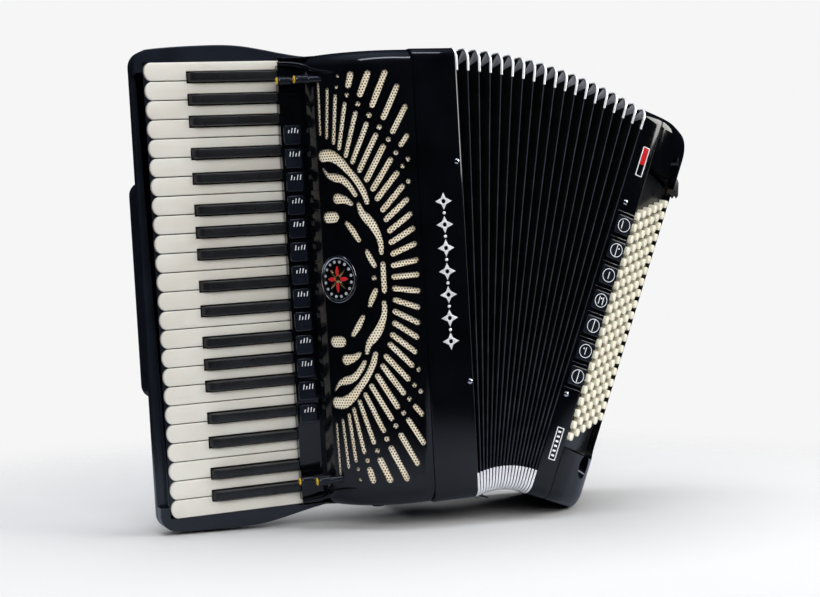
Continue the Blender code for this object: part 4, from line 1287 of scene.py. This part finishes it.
lines = []
for number in range(8):
    z = TAB_LOW + TAB_STEP * number - 14.7
    lines.append(board([[(2.6, z), (23.0, z), (23.0, z + 0.5), (2.6, z + 0.5)]], -0.3, 0.3, "y", 0.1, 1))
lines = piece("bass_register_dividers", joined(lines), BASS, AXLE_STEEL)
fixed(lines, "bass", "steel")


# ---- Trim plates on the bass case ----
# Two small enamelled plates with a white edge, glued on: the upper one half red and half black, the lower
# one black with a row of plain bars.

for name, low, high in (("upper", 374.0, 407.5), ("lower", 48.6, 85.0)):
    rim_shape = board([loop((9.6, low), (18.0, high), 0.8, 3),
                       loop((10.5, low + 0.9), (17.1, high - 0.9), 0.6, 3)],
                      -0.8, 0.2, "y", 0.15, 1)
    rim_piece = piece(f"trim_edge_{name}", rim_shape, BASS, PRINT)
    fixed(rim_piece, "bass")
    bars = []
    if name == "upper":
        middle = low + (high - low) * 0.4
        bars.append(board([loop((10.8, middle), (16.8, high - 1.2), 0.4, 2)], -0.5, 0.2, "y", 0.1, 1))
    else:
        for k in range(6):
            z = low + 5.0 + k * 5.3
            bars.append(board([loop((12.0, z - 1.1), (15.6, z + 1.1), 0.4, 2)], -0.5, 0.2, "y", 0.1, 1))
    bars = piece(f"trim_field_{name}", joined(bars), BASS, RED if name == "upper" else PRINT)
    fixed(bars, "bass")


# ---- Air button ----
# A turned ivory-coloured button on the flat end of the bass side, which lets the bellows move silently.

profile = ((5.0, -6.0), (5.0, 4.0), (7.6, 4.4), (8.0, 5.2), (7.9, 6.8), (7.2, 8.1), (5.0, 8.8), (2.4, 8.5),
           (0.4, 8.3))
air_button = piece("air_button_turned", turned(profile, (BASS_END, *AIR), (1, 0, 0), 32), BASS, IVORY)
fixed(air_button, "air_button", "ivory_buttons", "air_button")


# ---- Hand strap ----
# A padded black leather strap bowed over the flat end, sewn along both edges with grey thread and held by a
# steel plate and two screws at each end.

STRAP_Y = (128.0, 186.0)
STRAP_FOOT = 48.0
STRAP_HEAD = 390.0
LEATHER = finish("strap_leather", ((0.010, 0.009, 0.009), (0.026, 0.023, 0.022)), (0.38, 0.62), 240.0, 0.0005,
                 pores=900.0)
THREAD = finish("grey_thread", ((0.3, 0.3, 0.31), (0.42, 0.42, 0.43)), (0.6, 0.8), 2000.0, 0.0001)
points = [(BASS_END + 0.35, STRAP_FOOT), (BASS_END + 0.35, STRAP_FOOT + 12),
          (BASS_END + 0.6, STRAP_FOOT + 22)]
for step in range(1, 12):
    share = step / 12
    points.append((BASS_END + 0.4 + 30.0 * math.sin(math.pi * share) ** 0.75,
                   STRAP_FOOT + 22 + 298.0 * share))
points += [(BASS_END + 0.6, STRAP_HEAD - 22), (BASS_END + 0.35, STRAP_HEAD - 12),
           (BASS_END + 0.35, STRAP_HEAD)]
line = flowing(points, 4)
wide = (STRAP_Y[1] - STRAP_Y[0]) / 2
middle_y = sum(STRAP_Y) / 2
rows = []
stitches = []
for k, (x, z) in enumerate(line):
    ahead = heading(line, k, 2)
    off = Vector((ahead.y, -ahead.x))
    crown = 1.6 * math.sin(math.pi * k / (len(line) - 1)) ** 0.5
    row = []
    for step in range(28):
        angle = 2 * math.pi * step / 28
        across = math.copysign(abs(math.cos(angle)) ** 0.3, math.cos(angle))
        lift = math.copysign(abs(math.sin(angle)) ** 0.6, math.sin(angle))
        puff = crown * max(0.0, 1 - (abs(across) / 0.82) ** 4) * max(lift, 0.0)
        offset = 1.5 + 1.5 * lift + puff
        row.append((x + off.x * offset, middle_y + across * wide, z + off.y * offset))
    rows.append(row)
    if 3 < k < len(line) - 4:
        for side in (-1, 1):
            spot = Vector((x + off.x * 3.1, middle_y + side * wide * 0.88, z + off.y * 3.1))
            stitches.append(turned(((0.15, -2.0), (0.45, -1.7), (0.5, 0.0), (0.45, 1.7), (0.15, 2.0)), spot,
                                   (ahead.x, 0.0, ahead.y), 8))
strap = piece("hand_strap_leather", lofted(rows), BASS, LEATHER)
fixed(strap, "bass", "leather", "hand_strap")
fixed(piece("hand_strap_stitching", joined(stitches), BASS, THREAD), "bass")
holders = []
for z in (STRAP_FOOT + 9.0, STRAP_HEAD - 9.0):
    holders.append(board([loop((STRAP_Y[0] + 3, z - 6), (STRAP_Y[1] - 3, z + 6), 3.0, 4)], BASS_END + 3.2,
                         BASS_END + 4.8,
                         "x", 0.5))
    for y in (STRAP_Y[0] + 14, STRAP_Y[1] - 14):
        holders.append(turned(((3.2, 0.0), (3.2, 0.8), (2.4, 1.7), (0.9, 2.1), (0.3, 2.1)),
                              (BASS_END + 4.6, y, z), (1, 0, 0), 18))
holders = piece("hand_strap_plates", joined(holders), BASS, CHROME)
fixed(holders, "bass", "steel")


# ---- Reed blocks ----
# Banks of spruce reed blocks stand on both soundboards inside the cases, out of sight when the bellows are on.

SPRUCE = finish("spruce", ((0.46, 0.31, 0.17), (0.6, 0.43, 0.26)), (0.5, 0.7), 200.0, 0.0001, scratch=120.0)
for name in ("treble_reeds", "bass_reeds"):
    refinished(name, SPRUCE)
